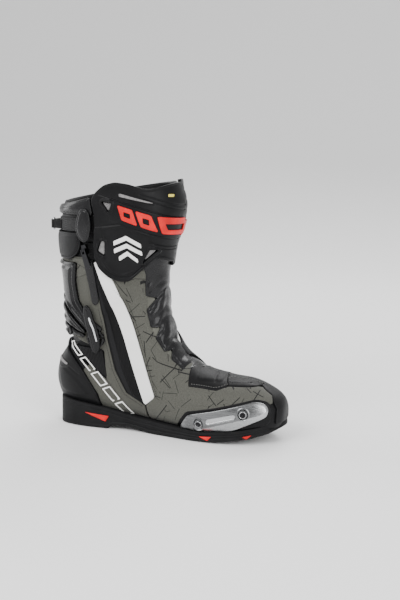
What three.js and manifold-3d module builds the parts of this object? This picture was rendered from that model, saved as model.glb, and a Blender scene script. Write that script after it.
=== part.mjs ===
// Road-racing motorcycle boot for the right foot, as an assembly of the pieces it is sewn, moulded
// and bolted together from.
// Units are millimetres. +X points to the toe, +Z up, -Y is the outer (lateral) side of the foot.
// The origin is the centre of the heel tread, on the ground. In the shoemaker's words used below,
// the last is the solid foot-and-leg form, and every upper layer is drawn as an offset from it.
import * as THREE from 'three';
import { mergeVertices } from 'three/addons/utils/BufferGeometryUtils.js';
import Module from 'manifold-3d';

const wasm = await Module();
wasm.setup();

// ---------------------------------------------------------------- driving dimensions
const SOLE_LENGTH = 308;        // outsole, heel to toe
const SOLE_WIDTH = 99;          // outsole across the ball
const BOOT_HEIGHT = 328;        // ground to the highest point of the shin plate
const UPPER_WALL = 4;           // leather and padding of the foot and shaft shells
const LINING_WALL = 3;          // padded lining of the shaft
const PANEL_WALL = 1.9;         // sewn panels on the shells
const GUARD_WALL = 3.4;         // moulded guards and braces over the panels
const BADGE_WALL = 1.4;         // applied bars, badges and covers
const FIT_GAP = 0.6;            // between a layer and the one under it
const SEAM_GAP = 0.4;           // each piece draws back this far from a shared seam
const FLEX_BACK = 8;            // degrees the cuff can lean back
const FLEX_FORWARD = 18;        // degrees the cuff can flex forward
const FLEX_MARGIN = 10;         // degrees left between cuff and foot at full forward flex
const PIN_RADIUS = 4;           // ankle pivot pins
const PIN_HEAD_RADIUS = 7.5;
const EYELET_RADIUS = 12;       // calf brace eyelets on the pins
const SCREW_RADIUS = 2.4;       // slider screws, shank
const SCREW_HEAD_RADIUS = 4.2;
const RUN_GAP = 0.35;           // round parts in their holes
const RING_WIRE = 1.3;          // radius of the strap ring's wire

// The profiles below are drawn for a reference boot and stretched to the driving dimensions.
const REFERENCE = { length: 308, width: 99, height: 328 };
const KX = SOLE_LENGTH / REFERENCE.length;
const KY = SOLE_WIDTH / REFERENCE.width;
const KZ = BOOT_HEIGHT / REFERENCE.height;
const PIVOT = { x: 20 * KX, z: 120 * KZ };   // ankle axis, parallel to Y

// Layer heights above the last
const PANEL = [FIT_GAP, FIT_GAP + PANEL_WALL];
const GUARD = [PANEL[1] + FIT_GAP, PANEL[1] + FIT_GAP + GUARD_WALL];
const BADGE = [GUARD[1] + FIT_GAP, GUARD[1] + FIT_GAP + BADGE_WALL];

// ---------------------------------------------------------------- the last
// Stations run from the toe tip along the foot, round the heel and up the leg. Each one is a ring
// from a point on the sole or back profile to a point on the top or front profile:
// back x, back z, front x, front z, lateral half width, medial half width, front and back squareness.
const STATIONS = [
  [261, 29, 261, 33, 2, 2, 2.0, 2.2],
  [258, 18, 258, 49, 19, 17, 2.1, 2.4],
  [249, 13, 246, 60, 31, 28, 2.2, 2.8],
  [227, 10, 221, 70, 41, 36, 2.2, 3.2],
  [194, 9, 188, 74, 47, 42, 2.2, 3.4],
  [156, 10, 153, 82, 48, 43, 2.1, 3.4],
  [112, 13, 124, 102, 44, 41, 2.1, 3.2],
  [66, 17, 109, 130, 40, 38, 2.1, 3.0],
  [16, 20, 104, 156, 38, 36, 2.1, 2.8],
  [-28, 25, 102, 178, 37, 35, 2.1, 2.6],
  [-44, 50, 102, 195, 38, 36, 2.1, 2.4],
  [-42, 77, 103, 211, 40, 38, 2.1, 2.2],
  [-29, 102, 106, 227, 43, 41, 2.1, 2.1],
  [-31, 148, 110, 246, 48, 46, 2.1, 2.1],
  [-33, 195, 116, 266, 53, 51, 2.1, 2.1],
  [-39, 243, 121, 292, 57, 55, 2.1, 2.1],
  [-34, 291, 114, 320, 58, 56, 2.1, 2.1],
  [-30, 335, 108, 356, 58, 56, 2.1, 2.1],
];
const RINGS = 25;
const RING_POINTS = 20;

// Uniform Catmull-Rom value through the stations at s from 0 to 1.
function stationAt(s) {
  const last = STATIONS.length - 1;
  const u = THREE.MathUtils.clamp(s, 0, 1) * last;
  const i = Math.min(Math.floor(u), last - 1);
  const f = u - i;
  const before = (k) => (i === 0 ? 2 * STATIONS[0][k] - STATIONS[1][k] : STATIONS[i - 1][k]);
  const after = (k) => (i === last - 1 ? 2 * STATIONS[last][k] - STATIONS[last - 1][k] : STATIONS[i + 2][k]);
  return STATIONS[0].map((_, k) => {
    const [a, b, c, d] = [before(k), STATIONS[i][k], STATIONS[i + 1][k], after(k)];
    return 0.5 * (2 * b + (c - a) * f + (2 * a - 5 * b + 4 * c - d) * f * f + (3 * b - a - 3 * c + d) * f ** 3);
  });
}

// Point of the last: s picks the ring, turn goes round it from the front (0) by the lateral side.
function lastPoint(s, turn) {
  const [bx, bz, fx, fz, lateral, medial, nFront, nBack] = stationAt(s);
  const c = Math.cos(turn * 2 * Math.PI);
  const w = Math.sin(turn * 2 * Math.PI);
  const n = c > 0 ? nFront : nBack;
  const r = (Math.abs(c) ** n + Math.abs(w) ** n) ** (-1 / n);
  const half = w > 0 ? lateral : medial;
  const x = (bx + fx) / 2 + (r * c * (fx - bx)) / 2;
  const z = (bz + fz) / 2 + (r * c * (fz - bz)) / 2;
  return new THREE.Vector3(x * KX, -r * w * half * KY, z * KZ);
}

function lastNormal(s, turn) {
  const e = 0.004;
  const ds = lastPoint(Math.min(s + e, 1), turn).sub(lastPoint(Math.max(s - e, 0), turn));
  const dt = lastPoint(s, turn + e).sub(lastPoint(s, turn - e));
  return ds.cross(dt).normalize();
}

// ---------------------------------------------------------------- solids
function toSolid(geometry) {
  const bare = geometry.clone();
  bare.deleteAttribute('normal');
  bare.deleteAttribute('uv');
  const merged = mergeVertices(bare, 1e-4);
  const vertProperties = new Float32Array(merged.attributes.position.array);
  const triVerts = new Uint32Array(merged.index.array);
  return new wasm.Manifold(new wasm.Mesh({ numProp: 3, vertProperties, triVerts }));
}

// The last grown by an offset, closed at the toe and across the top.
const grown = new Map();
function lastSolid(offset) {
  if (grown.has(offset)) return grown.get(offset);
  const points = [];
  for (let i = 0; i <= RINGS; i += 1) {
    for (let j = 0; j < RING_POINTS; j += 1) {
      const s = i / RINGS;
      const turn = j / RING_POINTS;
      points.push(lastPoint(s, turn).addScaledVector(lastNormal(s, turn), offset));
    }
  }
  const centre = (ring) => {
    const sum = new THREE.Vector3();
    for (let j = 0; j < RING_POINTS; j += 1) sum.add(points[ring * RING_POINTS + j]);
    return sum.divideScalar(RING_POINTS);
  };
  points.push(centre(0), centre(RINGS));
  const toe = points.length - 2;
  const top = points.length - 1;
  const faces = [];
  for (let j = 0; j < RING_POINTS; j += 1) {
    const k = (j + 1) % RING_POINTS;
    for (let i = 0; i < RINGS; i += 1) {
      const a = i * RING_POINTS + j;
      const b = i * RING_POINTS + k;
      const c = a + RING_POINTS;
      const d = b + RING_POINTS;
      faces.push(a, c, b, b, c, d);
    }
    faces.push(toe, j, k);
    faces.push(top, RINGS * RING_POINTS + k, RINGS * RING_POINTS + j);
  }
  const geometry = new THREE.BufferGeometry();
  geometry.setAttribute('position', new THREE.Float32BufferAttribute(points.flatMap((p) => p.toArray()), 3));
  geometry.setIndex(faces);
  let solid = toSolid(geometry);
  if (solid.volume() < 0) {
    for (let f = 0; f < faces.length; f += 3) [faces[f], faces[f + 1]] = [faces[f + 1], faces[f]];
    geometry.setIndex(faces);
    solid = toSolid(geometry);
  }
  grown.set(offset, solid);
  return solid;
}

const layer = ([low, high]) => lastSolid(high).subtract(lastSolid(low));

// Side-view outlines, [x, z] on the reference boot. An outline is drawn back by the seam gap.
const REACH = 130;
function drawnBack(outline, gap) {
  const area = THREE.ShapeUtils.area(outline);
  const sign = area > 0 ? 1 : -1;
  return outline.map((point, i) => {
    const before = outline[(i + outline.length - 1) % outline.length];
    const after = outline[(i + 1) % outline.length];
    const d1 = point.clone().sub(before).normalize();
    const d2 = after.clone().sub(point).normalize();
    const n1 = new THREE.Vector2(-d1.y, d1.x).multiplyScalar(sign);
    const n2 = new THREE.Vector2(-d2.y, d2.x).multiplyScalar(sign);
    const mitre = n1.clone().add(n2);
    const stretch = Math.max(0.35, (mitre.lengthSq()) / 2);
    return point.clone().addScaledVector(mitre, gap / stretch);
  });
}

function prism(outline, low, high, gap = 0) {
  const points = outline.map(([x, z]) => new THREE.Vector2(x * KX, z * KZ));
  const shape = new THREE.Shape(gap ? drawnBack(points, gap) : points);
  const geometry = new THREE.ExtrudeGeometry(shape, { depth: high - low, bevelEnabled: false });
  geometry.rotateX(Math.PI / 2);
  geometry.translate(0, high, 0);
  return toSolid(geometry);
}

const lateral = (outline, gap = SEAM_GAP) => prism(outline, -REACH, 0, gap);
const medial = (outline, gap = SEAM_GAP) => prism(outline, 0, REACH, gap);
const across = (outline, gap = 0) => prism(outline, -REACH, REACH, gap);

// A round bar along Y through a side-view point, from y = low to y = high.
function bar(x, z, radius, low = -REACH, high = REACH, sides = 16) {
  const geometry = new THREE.CylinderGeometry(radius, radius, high - low, sides);
  geometry.translate(x, (low + high) / 2, z);
  return toSolid(geometry);
}

// A round bar along any direction, from a point, between two distances.
function rod(point, direction, radius, low, high, sides = 12) {
  const geometry = new THREE.CylinderGeometry(radius, radius, high - low, sides);
  geometry.translate(0, (low + high) / 2, 0);
  const turn = new THREE.Quaternion().setFromUnitVectors(new THREE.Vector3(0, 1, 0), direction);
  geometry.applyQuaternion(turn);
  geometry.translate(point.x, point.y, point.z);
  return toSolid(geometry);
}

// The place on the last that shows at a side-view point: its position and outward normal.
function onLast(x, z, side) {
  let best = null;
  let bestGap = Infinity;
  for (let i = 0; i <= 240; i += 1) {
    for (let j = 0; j <= 120; j += 1) {
      const turn = side < 0 ? j / 240 : 0.5 + j / 240;
      const point = lastPoint(i / 240, turn);
      const gap = Math.hypot(point.x - x * KX, point.z - z * KZ) - 0.05 * Math.abs(point.y);
      if (gap < bestGap) {
        bestGap = gap;
        best = { point, normal: lastNormal(i / 240, turn) };
      }
    }
  }
  return best;
}

// ---------------------------------------------------------------- the flex line of the ankle
// Directions are degrees about the pivot in side view, 0 to the front, 90 up.
const FOOT_FRONT = -3;
const CUFF_FRONT = FOOT_FRONT + FLEX_FORWARD + FLEX_MARGIN;
const FOOT_BACK = 182;
const BRACE_BACK = 136;         // lower edge of the calf brace; the stirrups fan out below it
const CUFF_BACK = BRACE_BACK - 2;
const EAR_RADIUS = 16;
const FAR = 320;
const toward = (degrees, radius) => {
  const a = THREE.MathUtils.degToRad(degrees);
  return [(PIVOT.x + radius * Math.cos(a)) / KX, (PIVOT.z + radius * Math.sin(a)) / KZ];
};
const pivotPoint = toward(0, 0);
function sector(from, to, radius = FAR) {
  const steps = Math.max(1, Math.ceil(Math.abs(to - from) / 30));
  const outline = [pivotPoint];
  for (let i = 0; i <= steps; i += 1) outline.push(toward(from + ((to - from) * i) / steps, radius * 1.2));
  return outline;
}
const earDisc = bar(PIVOT.x, PIVOT.z, EAR_RADIUS);
const earCut = bar(PIVOT.x, PIVOT.z, EAR_RADIUS + SEAM_GAP * 2);
const pinHole = bar(PIVOT.x, PIVOT.z, PIN_RADIUS + RUN_GAP);
const footSide = across(sector(FOOT_BACK, FOOT_FRONT + 360));
const cuffSide = across(sector(CUFF_FRONT, CUFF_BACK)).subtract(earCut);
const frontGap = across(sector(FOOT_FRONT, CUFF_FRONT), SEAM_GAP).subtract(earCut);
const backGap = across(sector(CUFF_BACK, FOOT_BACK), SEAM_GAP).subtract(earCut);
const RIM = [[-90, 281], [160, 325.5], [160, -60], [-90, -60]];
const RIM_ROLL = 4;             // the lining stands this far above the shell
const SPRING_LINE = [[-60, 36], [-46, 35], [-33, 34], [30, 27], [75, 18], [120, 14], [165, 12.4], [205, 17],
  [235, 22], [290, 32]];
const aboveSole = across([...SPRING_LINE, [290, 400], [-60, 400]], 0).translate(0, 0, SEAM_GAP * 2);

// ---------------------------------------------------------------- the group of named parts
const boot = new THREE.Group();
function add(name, solid, color, roughness, metalness = 0) {
  const pieces = solid.decompose();
  const whole = pieces.reduce((a, b) => (a.volume() > b.volume() ? a : b));
  const mesh = whole.getMesh();
  const geometry = new THREE.BufferGeometry();
  geometry.setAttribute('position', new THREE.BufferAttribute(mesh.vertProperties, 3));
  geometry.setIndex(new THREE.BufferAttribute(mesh.triVerts, 1));
  geometry.computeVertexNormals();
  const part = new THREE.Mesh(geometry, new THREE.MeshStandardMaterial({ color, roughness, metalness }));
  part.name = name;
  boot.add(part);
  return whole;
}
const BLACK = 0x1b1c1d;
const DARK = 0x2a2b2c;
const GREY = 0x706f68;
const WHITE = 0xf0efec;
const RED = 0xd8352f;
const SILVER = 0xb9bbbd;

// ---------------------------------------------------------------- sole
const SOLE_EDGE = [[-45, 0], [-38, -26], [-22, -36], [6, -40], [44, -39], [80, -39], [120, -45], [164, -51],
  [204, -49], [235, -37], [255, -19], [263, 0], [257, 17], [238, 32], [207, 42], [166, 46], [120, 40],
  [80, 35], [44, 36], [6, 38], [-22, 34], [-38, 22]];
const SOLE_PROFILE = [[-50, 12], [-44, 3], [-38, 0], [33, 0], [41, 5], [62, 5], [86, 1], [92, 0], [150, 0],
  [178, 1.2], [202, 4], [226, 8], [246, 13], [268, 22], [268, 27], [235, 22], [205, 17], [165, 12.4],
  [120, 14], [75, 18], [30, 27], [-33, 34], [-50, 35]];

// Plan outline of the sole as an upright column, drawn in by an inset.
function soleColumn(inset) {
  const curve = new THREE.CatmullRomCurve3(
    SOLE_EDGE.map(([x, y]) => new THREE.Vector3(x * KX, y * KY, 0)), true, 'centripetal');
  const edge = curve.getPoints(52).slice(0, -1).map((p) => new THREE.Vector2(p.x, p.y));
  const shape = new THREE.Shape(inset ? drawnBack(edge, inset) : edge);
  const geometry = new THREE.ExtrudeGeometry(shape, { depth: 60 * KZ, bevelEnabled: false });
  geometry.translate(0, 0, -5);
  return toSolid(geometry);
}

const INSERT_DEPTH = 3;
const SOLE_INSERTS = [
  ['heel_wedge_lateral', lateral, [[3, 19], [35, 17], [31, 10]]],
  ['heel_wedge_medial', medial, [[-22, 18], [6, 12], [-2, 8]]],
  ['tread_insert_lateral', lateral, [[163, 7], [178, 8], [174, 3.6]]],
];
const soleRim = soleColumn(0).subtract(soleColumn(INSERT_DEPTH));
const soleRimDeep = soleColumn(-1).subtract(soleColumn(INSERT_DEPTH + SEAM_GAP));
let outsole = soleColumn(0).intersect(across(SOLE_PROFILE)).subtract(lastSolid(FIT_GAP));
for (const [name, side, outline] of SOLE_INSERTS) {
  outsole = outsole.subtract(soleRimDeep.intersect(side(outline, -SEAM_GAP)));
  add(name, soleRim.intersect(side(outline, 0)), RED, 0.5);
}
add('outsole', outsole, BLACK, 0.75);

// ---------------------------------------------------------------- inside the foot
const insideFoot = lastSolid(-UPPER_WALL - FIT_GAP);
const FOOTBED_LINE = [[-60, 33], [-27, 31], [16, 28], [66, 25], [112, 21], [156, 18], [194, 17], [227, 18],
  [280, 24]];
const below = (line, drop) => across([...line.map(([x, z]) => [x, z - drop]), [280, -20], [-60, -20]]);
const BOARD_WALL = 3;
const FOOTBED_WALL = 5;
add('insole_board', insideFoot.intersect(below(FOOTBED_LINE, 0)), 0x8a7358, 0.8);
add('footbed', insideFoot.intersect(below(FOOTBED_LINE, -FOOTBED_WALL - FIT_GAP))
  .subtract(below(FOOTBED_LINE, -FIT_GAP)), 0x3a3b3d, 0.9);

// ---------------------------------------------------------------- shells
const shell = layer([-UPPER_WALL, 0]);
const screws = [onLast(163, 26, -1), onLast(217, 40, -1)];
const screwHoles = screws
  .map(({ point, normal }) => rod(point, normal, SCREW_RADIUS + RUN_GAP, -UPPER_WALL * 2, 20))
  .reduce((a, b) => a.add(b));
add('foot_upper', shell.intersect(footSide.add(earDisc)).subtract(pinHole).subtract(screwHoles), DARK, 0.6);
add('shaft_shell', shell.intersect(cuffSide).intersect(across(RIM)), DARK, 0.6);
const rimAbove = across(RIM.map(([x, z]) => [x, z + (z > 0 ? RIM_ROLL : 0)]));
const lining = layer([-UPPER_WALL - FIT_GAP - LINING_WALL, -UPPER_WALL - FIT_GAP]);
const liningEar = bar(PIVOT.x, PIVOT.z, EAR_RADIUS + 4);
add('shaft_lining', lining.intersect(cuffSide).intersect(rimAbove).subtract(liningEar), 0x232425, 0.95);
add('instep_bellows', shell.intersect(frontGap), BLACK, 0.55);
add('achilles_gusset', shell.intersect(backGap), 0xd9d9d6, 0.6);

// ---------------------------------------------------------------- sewn panels
const panels = layer(PANEL);
const footPanel = (region) => panels.intersect(region).intersect(footSide).intersect(aboveSole).subtract(earCut);
const cuffPanel = (region) => panels.intersect(region).intersect(cuffSide).intersect(across(RIM));
const SLIDER = [[134, 16.5], [147, 34], [183, 46], [219, 55.5], [231, 57], [242, 51], [246, 43], [243, 35.5],
  [207, 21], [167, 15]];
const SLIDER_BASE = [[128, 15.5], [144, 37], [183, 49.5], [219, 59], [233, 60.5], [246, 54], [251, 44],
  [248, 28], [207, 18], [167, 14]];

add('vamp_panel', footPanel(
  lateral([[90, 160], [79, 125], [110, 112], [139, 95], [146, 66], [181, 63.5], [194, 67.5], [184.5, 77], [184.5, 140]])
    .add(medial([[60, 140], [108, 117], [126, 103], [142, 84], [155, 61], [155, 5], [184.5, 5], [184.5, 140]]))),
BLACK, 0.45);
add('toe_cap', footPanel(
  lateral([[184.5, 140], [184.5, 77], [194, 67.5], [231, 66.5], [246, 57], [253, 44], [250, 20], [300, 20],
    [300, 140]])
    .add(medial([[184.5, 140], [184.5, 5], [300, 5], [300, 140]]))), BLACK, 0.45);
add('quarter_panel_lateral', footPanel(
  lateral([[79, 125], [110, 112], [139, 95], [146, 66], [181, 63.5], [194, 67.5], [231, 66.5], [246, 57],
    [249, 50.5], [246, 54], [233, 60.5], [219, 59], [183, 49.5], [144, 37], [128, 15.5], [126, 5], [92, 5],
    [89, 38], [102, 49]])), GREY, 0.85);
add('toe_slider_base', footPanel(lateral(SLIDER_BASE)).subtract(screwHoles), BLACK, 0.5);
add('zip_stripe_lower', footPanel(lateral([[57, 125], [75, 125], [102, 49], [87, 38]])), WHITE, 0.45);
add('zip_tape_lower', footPanel(lateral([[32, 125], [36, 112], [45, 80], [61, 51], [87, 38], [57, 125]])),
  BLACK, 0.8);
add('quarter_panel_rear', footPanel(
  lateral([[30, 104], [36, 112], [45, 80], [61, 51], [87, 38], [89, 5], [76, 5], [67, 27], [33, 66]])), GREY, 0.85);
add('ankle_pad_lateral', footPanel(lateral([[-16, 107], [30, 107], [33, 68], [2, 88]])), BLACK, 0.6);
add('heel_strap_lateral', footPanel(
  lateral([[-29, 114], [-18, 110], [2, 88], [33, 66], [67, 27], [76, 5], [28, 5], [19, 46], [0, 76]])), BLACK, 0.5);

const FRONT_EDGE = [[81, 222], [84, 191], [83, 172], [78, 148]];
add('shin_panel_lateral', cuffPanel(
  lateral([[48, 196], [54, 179], [74, 126], [82, 126], ...[...FRONT_EDGE].reverse(), [78, 240], [34, 240]])),
GREY, 0.85);
add('front_panel', cuffPanel(
  lateral([...FRONT_EDGE, [78, 120], [160, 120], [160, 244], [90, 244]])
    .add(medial([[97, 120], [97, 244], [160, 244], [160, 120]]))), BLACK, 0.35);
add('zip_stripe_upper', cuffPanel(lateral([[19, 244], [34, 240], [48, 196], [54, 179], [74, 126], [56, 126],
  [31, 196]])), WHITE, 0.45);
add('zip_tape_upper', cuffPanel(lateral([[12, 246], [19, 244], [31, 196], [56, 126], [34, 126], [28, 164],
  [22.5, 217], [14, 219]])), BLACK, 0.8);
add('zip_guard_strip', cuffPanel(lateral([[14, 219], [22.5, 217], [27.5, 168], [24, 163], [19, 163], [16, 168]])),
  0x2b2c26, 0.55);
add('calf_panel_lateral', cuffPanel(
  lateral([[-60, 226], [12, 226], [14, 219], [16, 168], [19, 163], [24, 163], [28, 164], [34, 126], [-60, 126]])),
GREY, 0.85);
const WHITE_EDGE = [[12, 203], [34, 200], [40, 188], [63, 164], [97, 139]];
add('chevron_panel', cuffPanel(
  medial([[12, 340], [97, 340], [97, 139], ...[...WHITE_EDGE].slice(0, -1).reverse()])), BLACK, 0.6);
add('quilted_panel_medial', cuffPanel(
  medial([[-60, 226], [12, 226], ...WHITE_EDGE, [97, 100], [-60, 100]])), WHITE, 0.5);

// ---------------------------------------------------------------- heel and ankle guards of the foot
const guards = layer(GUARD);
const HEEL_CUP = [FIT_GAP, GUARD[1]];
const HEEL_INLAY = [[-24, 82], [-6, 91], [19, 93], [37, 75], [31, 56], [-14, 46], [-27, 58]];
const heelInlayRegion = medial(HEEL_INLAY, 0);
const inlaySeat = layer([HEEL_CUP[1] - 1.6, HEEL_CUP[1] + 3]);
const heelCup = layer(HEEL_CUP).intersect(
  lateral([[-70, 5], [28, 5], [19, 46], [0, 76], [-29, 113], [-70, 96]])
    .add(medial([[-70, 5], [58, 5], [56, 40], [44, 88], [20, 100], [-10, 104], [-70, 96]])))
  .intersect(aboveSole)
  .intersect(across(sector(FOOT_BACK + FLEX_BACK / 3 + 2, FOOT_FRONT + 360)));
add('heel_cup', heelCup
  .subtract(inlaySeat.intersect(medial(HEEL_INLAY, -SEAM_GAP))), BLACK, 0.4);
const inlay = layer([HEEL_CUP[1] - 1.6 + SEAM_GAP, HEEL_CUP[1]]);
add('heel_inlay_medial', inlay.intersect(heelInlayRegion), DARK, 0.55);
add('ankle_guard_medial', guards.intersect(
  medial([[60, 5], [57, 40], [46, 88], [46, 100], [57, 120], [52, 147], [74, 146], [98, 131], [122, 106],
    [140, 84], [153, 60], [153, 5]]))
  .intersect(aboveSole)
  .intersect(across(sector(FOOT_BACK, 360 + CUFF_FRONT - FLEX_FORWARD - 2))), BLACK, 0.5);

// ---------------------------------------------------------------- toe slider and its screws
const headSeat = screws
  .map(({ point, normal }) => rod(point, normal, SCREW_HEAD_RADIUS + RUN_GAP, GUARD[1] - 1.9, 20))
  .reduce((a, b) => a.add(b));
add('toe_slider', guards.intersect(lateral(SLIDER)).intersect(aboveSole).subtract(screwHoles).subtract(headSeat),
  SILVER, 0.3, 1);
screws.forEach(({ point, normal }, i) => {
  const head = rod(point, normal, SCREW_HEAD_RADIUS, GUARD[1] - 1.5, GUARD[1] + 1.2);
  const socket = rod(point, normal, SCREW_HEAD_RADIUS * 0.5, GUARD[1] - 0.6, 20, 6);
  const shank = rod(point, normal, SCREW_RADIUS, -UPPER_WALL - 2, GUARD[1] - 1);
  add(['slider_screw_rear', 'slider_screw_front'][i], head.add(shank).subtract(socket), 0x101010, 0.35, 1);
});

// ---------------------------------------------------------------- calf brace, stirrups and pivots
const STIRRUP_GAP = 3.5;        // degrees between neighbours at rest
const STIRRUP_SPAN = 17;        // degrees each stirrup covers
const STIRRUP_LAYER = [GUARD[0], GUARD[1] + 3];
const eyelet = bar(PIVOT.x, PIVOT.z, EYELET_RADIUS);
const eyeletCut = bar(PIVOT.x, PIVOT.z, EYELET_RADIUS + SEAM_GAP * 2);
const pivotSides = [onLast(pivotPoint[0], pivotPoint[1], -1), onLast(pivotPoint[0], pivotPoint[1], 1)];
const headFace = pivotSides.map(({ point }) => Math.abs(point.y) + GUARD[1] - 1.2);
const headCut = bar(PIVOT.x, PIVOT.z, PIN_HEAD_RADIUS + RUN_GAP, -REACH, -headFace[0])
  .add(bar(PIVOT.x, PIVOT.z, PIN_HEAD_RADIUS + RUN_GAP, headFace[1], REACH));
const braceBand = [[-80, 219], [0, 219]];
const braceFoot = [pivotPoint, [-80, 90]];
const belowBrace = across(sector(BRACE_BACK, 270));
const brace = guards.intersect(
  lateral([...braceBand, [-4, 195], [-1, 170], [12, 150], [30, 134], ...braceFoot])
    .add(medial([...braceBand, [0, 205], [20, 174], [32, 150], [32, 132], ...braceFoot]))
    .subtract(belowBrace)
    .add(eyelet)).subtract(pinHole).subtract(headCut);
add('calf_brace', brace, BLACK, 0.3);

const stirrupLayer = layer(STIRRUP_LAYER);
const stirrupBand = across([[-90, 60], [PIVOT.x / KX - 2, 60], [PIVOT.x / KX - 2, 240], [-90, 240]]);
['upper', 'lower'].forEach((place, i) => {
  const from = BRACE_BACK + STIRRUP_GAP + i * (STIRRUP_SPAN + STIRRUP_GAP);
  const wedge = across(sector(from, from + STIRRUP_SPAN)).subtract(eyeletCut).intersect(stirrupBand);
  add(`achilles_stirrup_${place}`, stirrupLayer.intersect(wedge), BLACK, 0.35);
});

['lateral', 'medial'].forEach((place, i) => {
  const side = i === 0 ? -1 : 1;
  const face = pivotSides[i].point.y * side;
  const range = (a, b) => (side < 0 ? [-b, -a] : [a, b]);
  const shank = bar(PIVOT.x, PIVOT.z, PIN_RADIUS, ...range(face - UPPER_WALL - 3, face + GUARD[1] - 0.2));
  const head = bar(PIVOT.x, PIVOT.z, PIN_HEAD_RADIUS, ...range(headFace[i] + RUN_GAP, face + GUARD[1] + 0.2));
  const foot = bar(PIVOT.x, PIVOT.z, PIN_HEAD_RADIUS, ...range(face - UPPER_WALL - 4.6, face - UPPER_WALL - 2.6));
  add(`pivot_pin_${place}`, shank.add(head).add(foot), SILVER, 0.35, 1);
});

// Cover outlines, in millimetres from the pivot. Over the eyelet a cover also clears the pin's head.
const LATERAL_COVER = [[-11, 44], [-6, 46], [-2, 40], [7, 2], [7, -14], [2, -19], [-4, -15], [-8, 6], [-12, 32]];
const MEDIAL_COVER = [[-11, 4], [-4, 21], [11, 28], [16, 14], [20, 2], [0, -10], [-9, -5]];
const fromPivot = (outline) => outline.map(([x, z]) => [(PIVOT.x + x) / KX, (PIVOT.z + z) / KZ]);
const PIN_CLEARANCE = FIT_GAP * 3;
const COVER_WALL = 3.4;
const coverShell = layer([GUARD[1] + FIT_GAP, GUARD[1] + FIT_GAP + COVER_WALL]);
function pivotCover(region, side, face) {
  const clear = face + GUARD[1] + PIN_CLEARANCE;
  const overPin = bar(PIVOT.x, PIVOT.z, EAR_RADIUS * 4, ...(side < 0 ? [-REACH, -clear] : [clear, REACH]));
  return coverShell.intersect(region).intersect(overPin.add(coverShell.subtract(eyeletCut)));
}
const pivotFace = pivotSides.map(({ point }) => Math.abs(point.y));
add('pivot_cover_lateral', pivotCover(lateral(fromPivot(LATERAL_COVER)), -1, pivotFace[0]), BLACK, 0.25, 0.3);
add('pivot_cover_medial', pivotCover(medial(fromPivot(MEDIAL_COVER)), 1, pivotFace[1]), SILVER, 0.25, 1);
const badges = layer(BADGE);
add('brace_bar_medial', badges.intersect(medial([[-35, 181], [-29, 186], [-2, 158], [-7, 152]])), SILVER, 0.3, 1);
const capLayer = layer([STIRRUP_LAYER[1] + SEAM_GAP, STIRRUP_LAYER[1] + SEAM_GAP + 1.8]);
const capSpot = toward(BRACE_BACK + 2 * STIRRUP_GAP + 1.5 * STIRRUP_SPAN, 35 * KX);
add('stirrup_cap_lateral', capLayer.intersect(bar(capSpot[0] * KX, capSpot[1] * KZ, 4.8, -REACH, 0)), DARK, 0.35);

// ---------------------------------------------------------------- shin plate
const PLATE_LATERAL = [[26, 298], [32, 308], [43, 318], [56, 323], [72, 321], [86, 315.5], [97, 313],
  [108, 317], [118, 325], [150, 328], [150, 232], [106, 232], [95, 227], [81, 212], [67, 198], [55, 198],
  [43, 203], [32, 214], [27, 228], [28, 249], [30, 267], [30, 280]];
const PLATE_MEDIAL = [[110, 326], [101, 289], [100, 248], [100, 218], [104, 214], [150, 214], [150, 328]];
const VENTS = [
  ['shin_vent_upper', [[40, 297], [53, 295], [49, 284]]],
  ['shin_vent_rear', [[32, 236], [37, 249], [42, 249], [41, 230]]],
  ['shin_vent_front', [[82, 221], [91, 239], [98, 238]]],
];
const plateRim = across([[-90, 290], [20, 312], [70, 326], [115, 328], [160, 328], [160, -60], [-90, -60]]);
let plate = guards.intersect(lateral(PLATE_LATERAL).add(medial(PLATE_MEDIAL))).intersect(plateRim);
for (const [name, outline] of VENTS) {
  plate = plate.subtract(lateral(outline, -SEAM_GAP));
  add(name, guards.intersect(lateral(outline, 0)), 0xa9aaab, 0.6);
}
add('shin_plate', plate, BLACK, 0.4);

const barTop = (x) => 293 - (x - 62) * 0.345;
const barFoot = (x) => 275 - (x - 62) * 0.4;
const BAR_EDGES = [[62, 78], [82, 98]];
BAR_EDGES.forEach(([from, to], i) => {
  const outline = [[from, barFoot(from)], [to, barFoot(to)], [to, barTop(to)], [from, barTop(from)]];
  add(`shin_bar_${['rear', 'middle'][i]}`, badges.intersect(lateral(outline, 0)), RED, 0.45);
});
const FRONT_BAR = [[102, barFoot(102)], [150, barFoot(118)], [150, barTop(118)], [102, barTop(102)]];
add('shin_bar_front', badges.intersect(lateral(FRONT_BAR, 0)
  .add(medial([[110, barFoot(118)], [150, barFoot(118)], [150, barTop(118)], [110, barTop(118)]], 0))), RED, 0.45);

// ---------------------------------------------------------------- collar, closure flap and strap
const padded = layer([GUARD[0], GUARD[1] + 1.2]);
add('collar_pad_lateral', padded.intersect(
  lateral([[-80, 278], [-80, 340], [22, 340], [23.5, 298], [27, 279]])).intersect(rimAbove)
  .subtract(across([[-80, 310], [30, 330], [30, 299], [20, 297], [-80, 289]])), BLACK, 0.3);
add('rear_shield', guards.intersect(lateral([[-80, 256], [8, 257], [7, 240], [2, 230], [-10, 222], [-80, 222]])),
  BLACK, 0.4);
const flap = padded.intersect(
  medial([[-80, 222], [10, 226], [12, 340], [-80, 340]])
    .add(lateral([[-80, 257.5], [-34, 257.5], [-34, 276.5], [-80, 276.5]]))).intersect(rimAbove);

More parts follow.
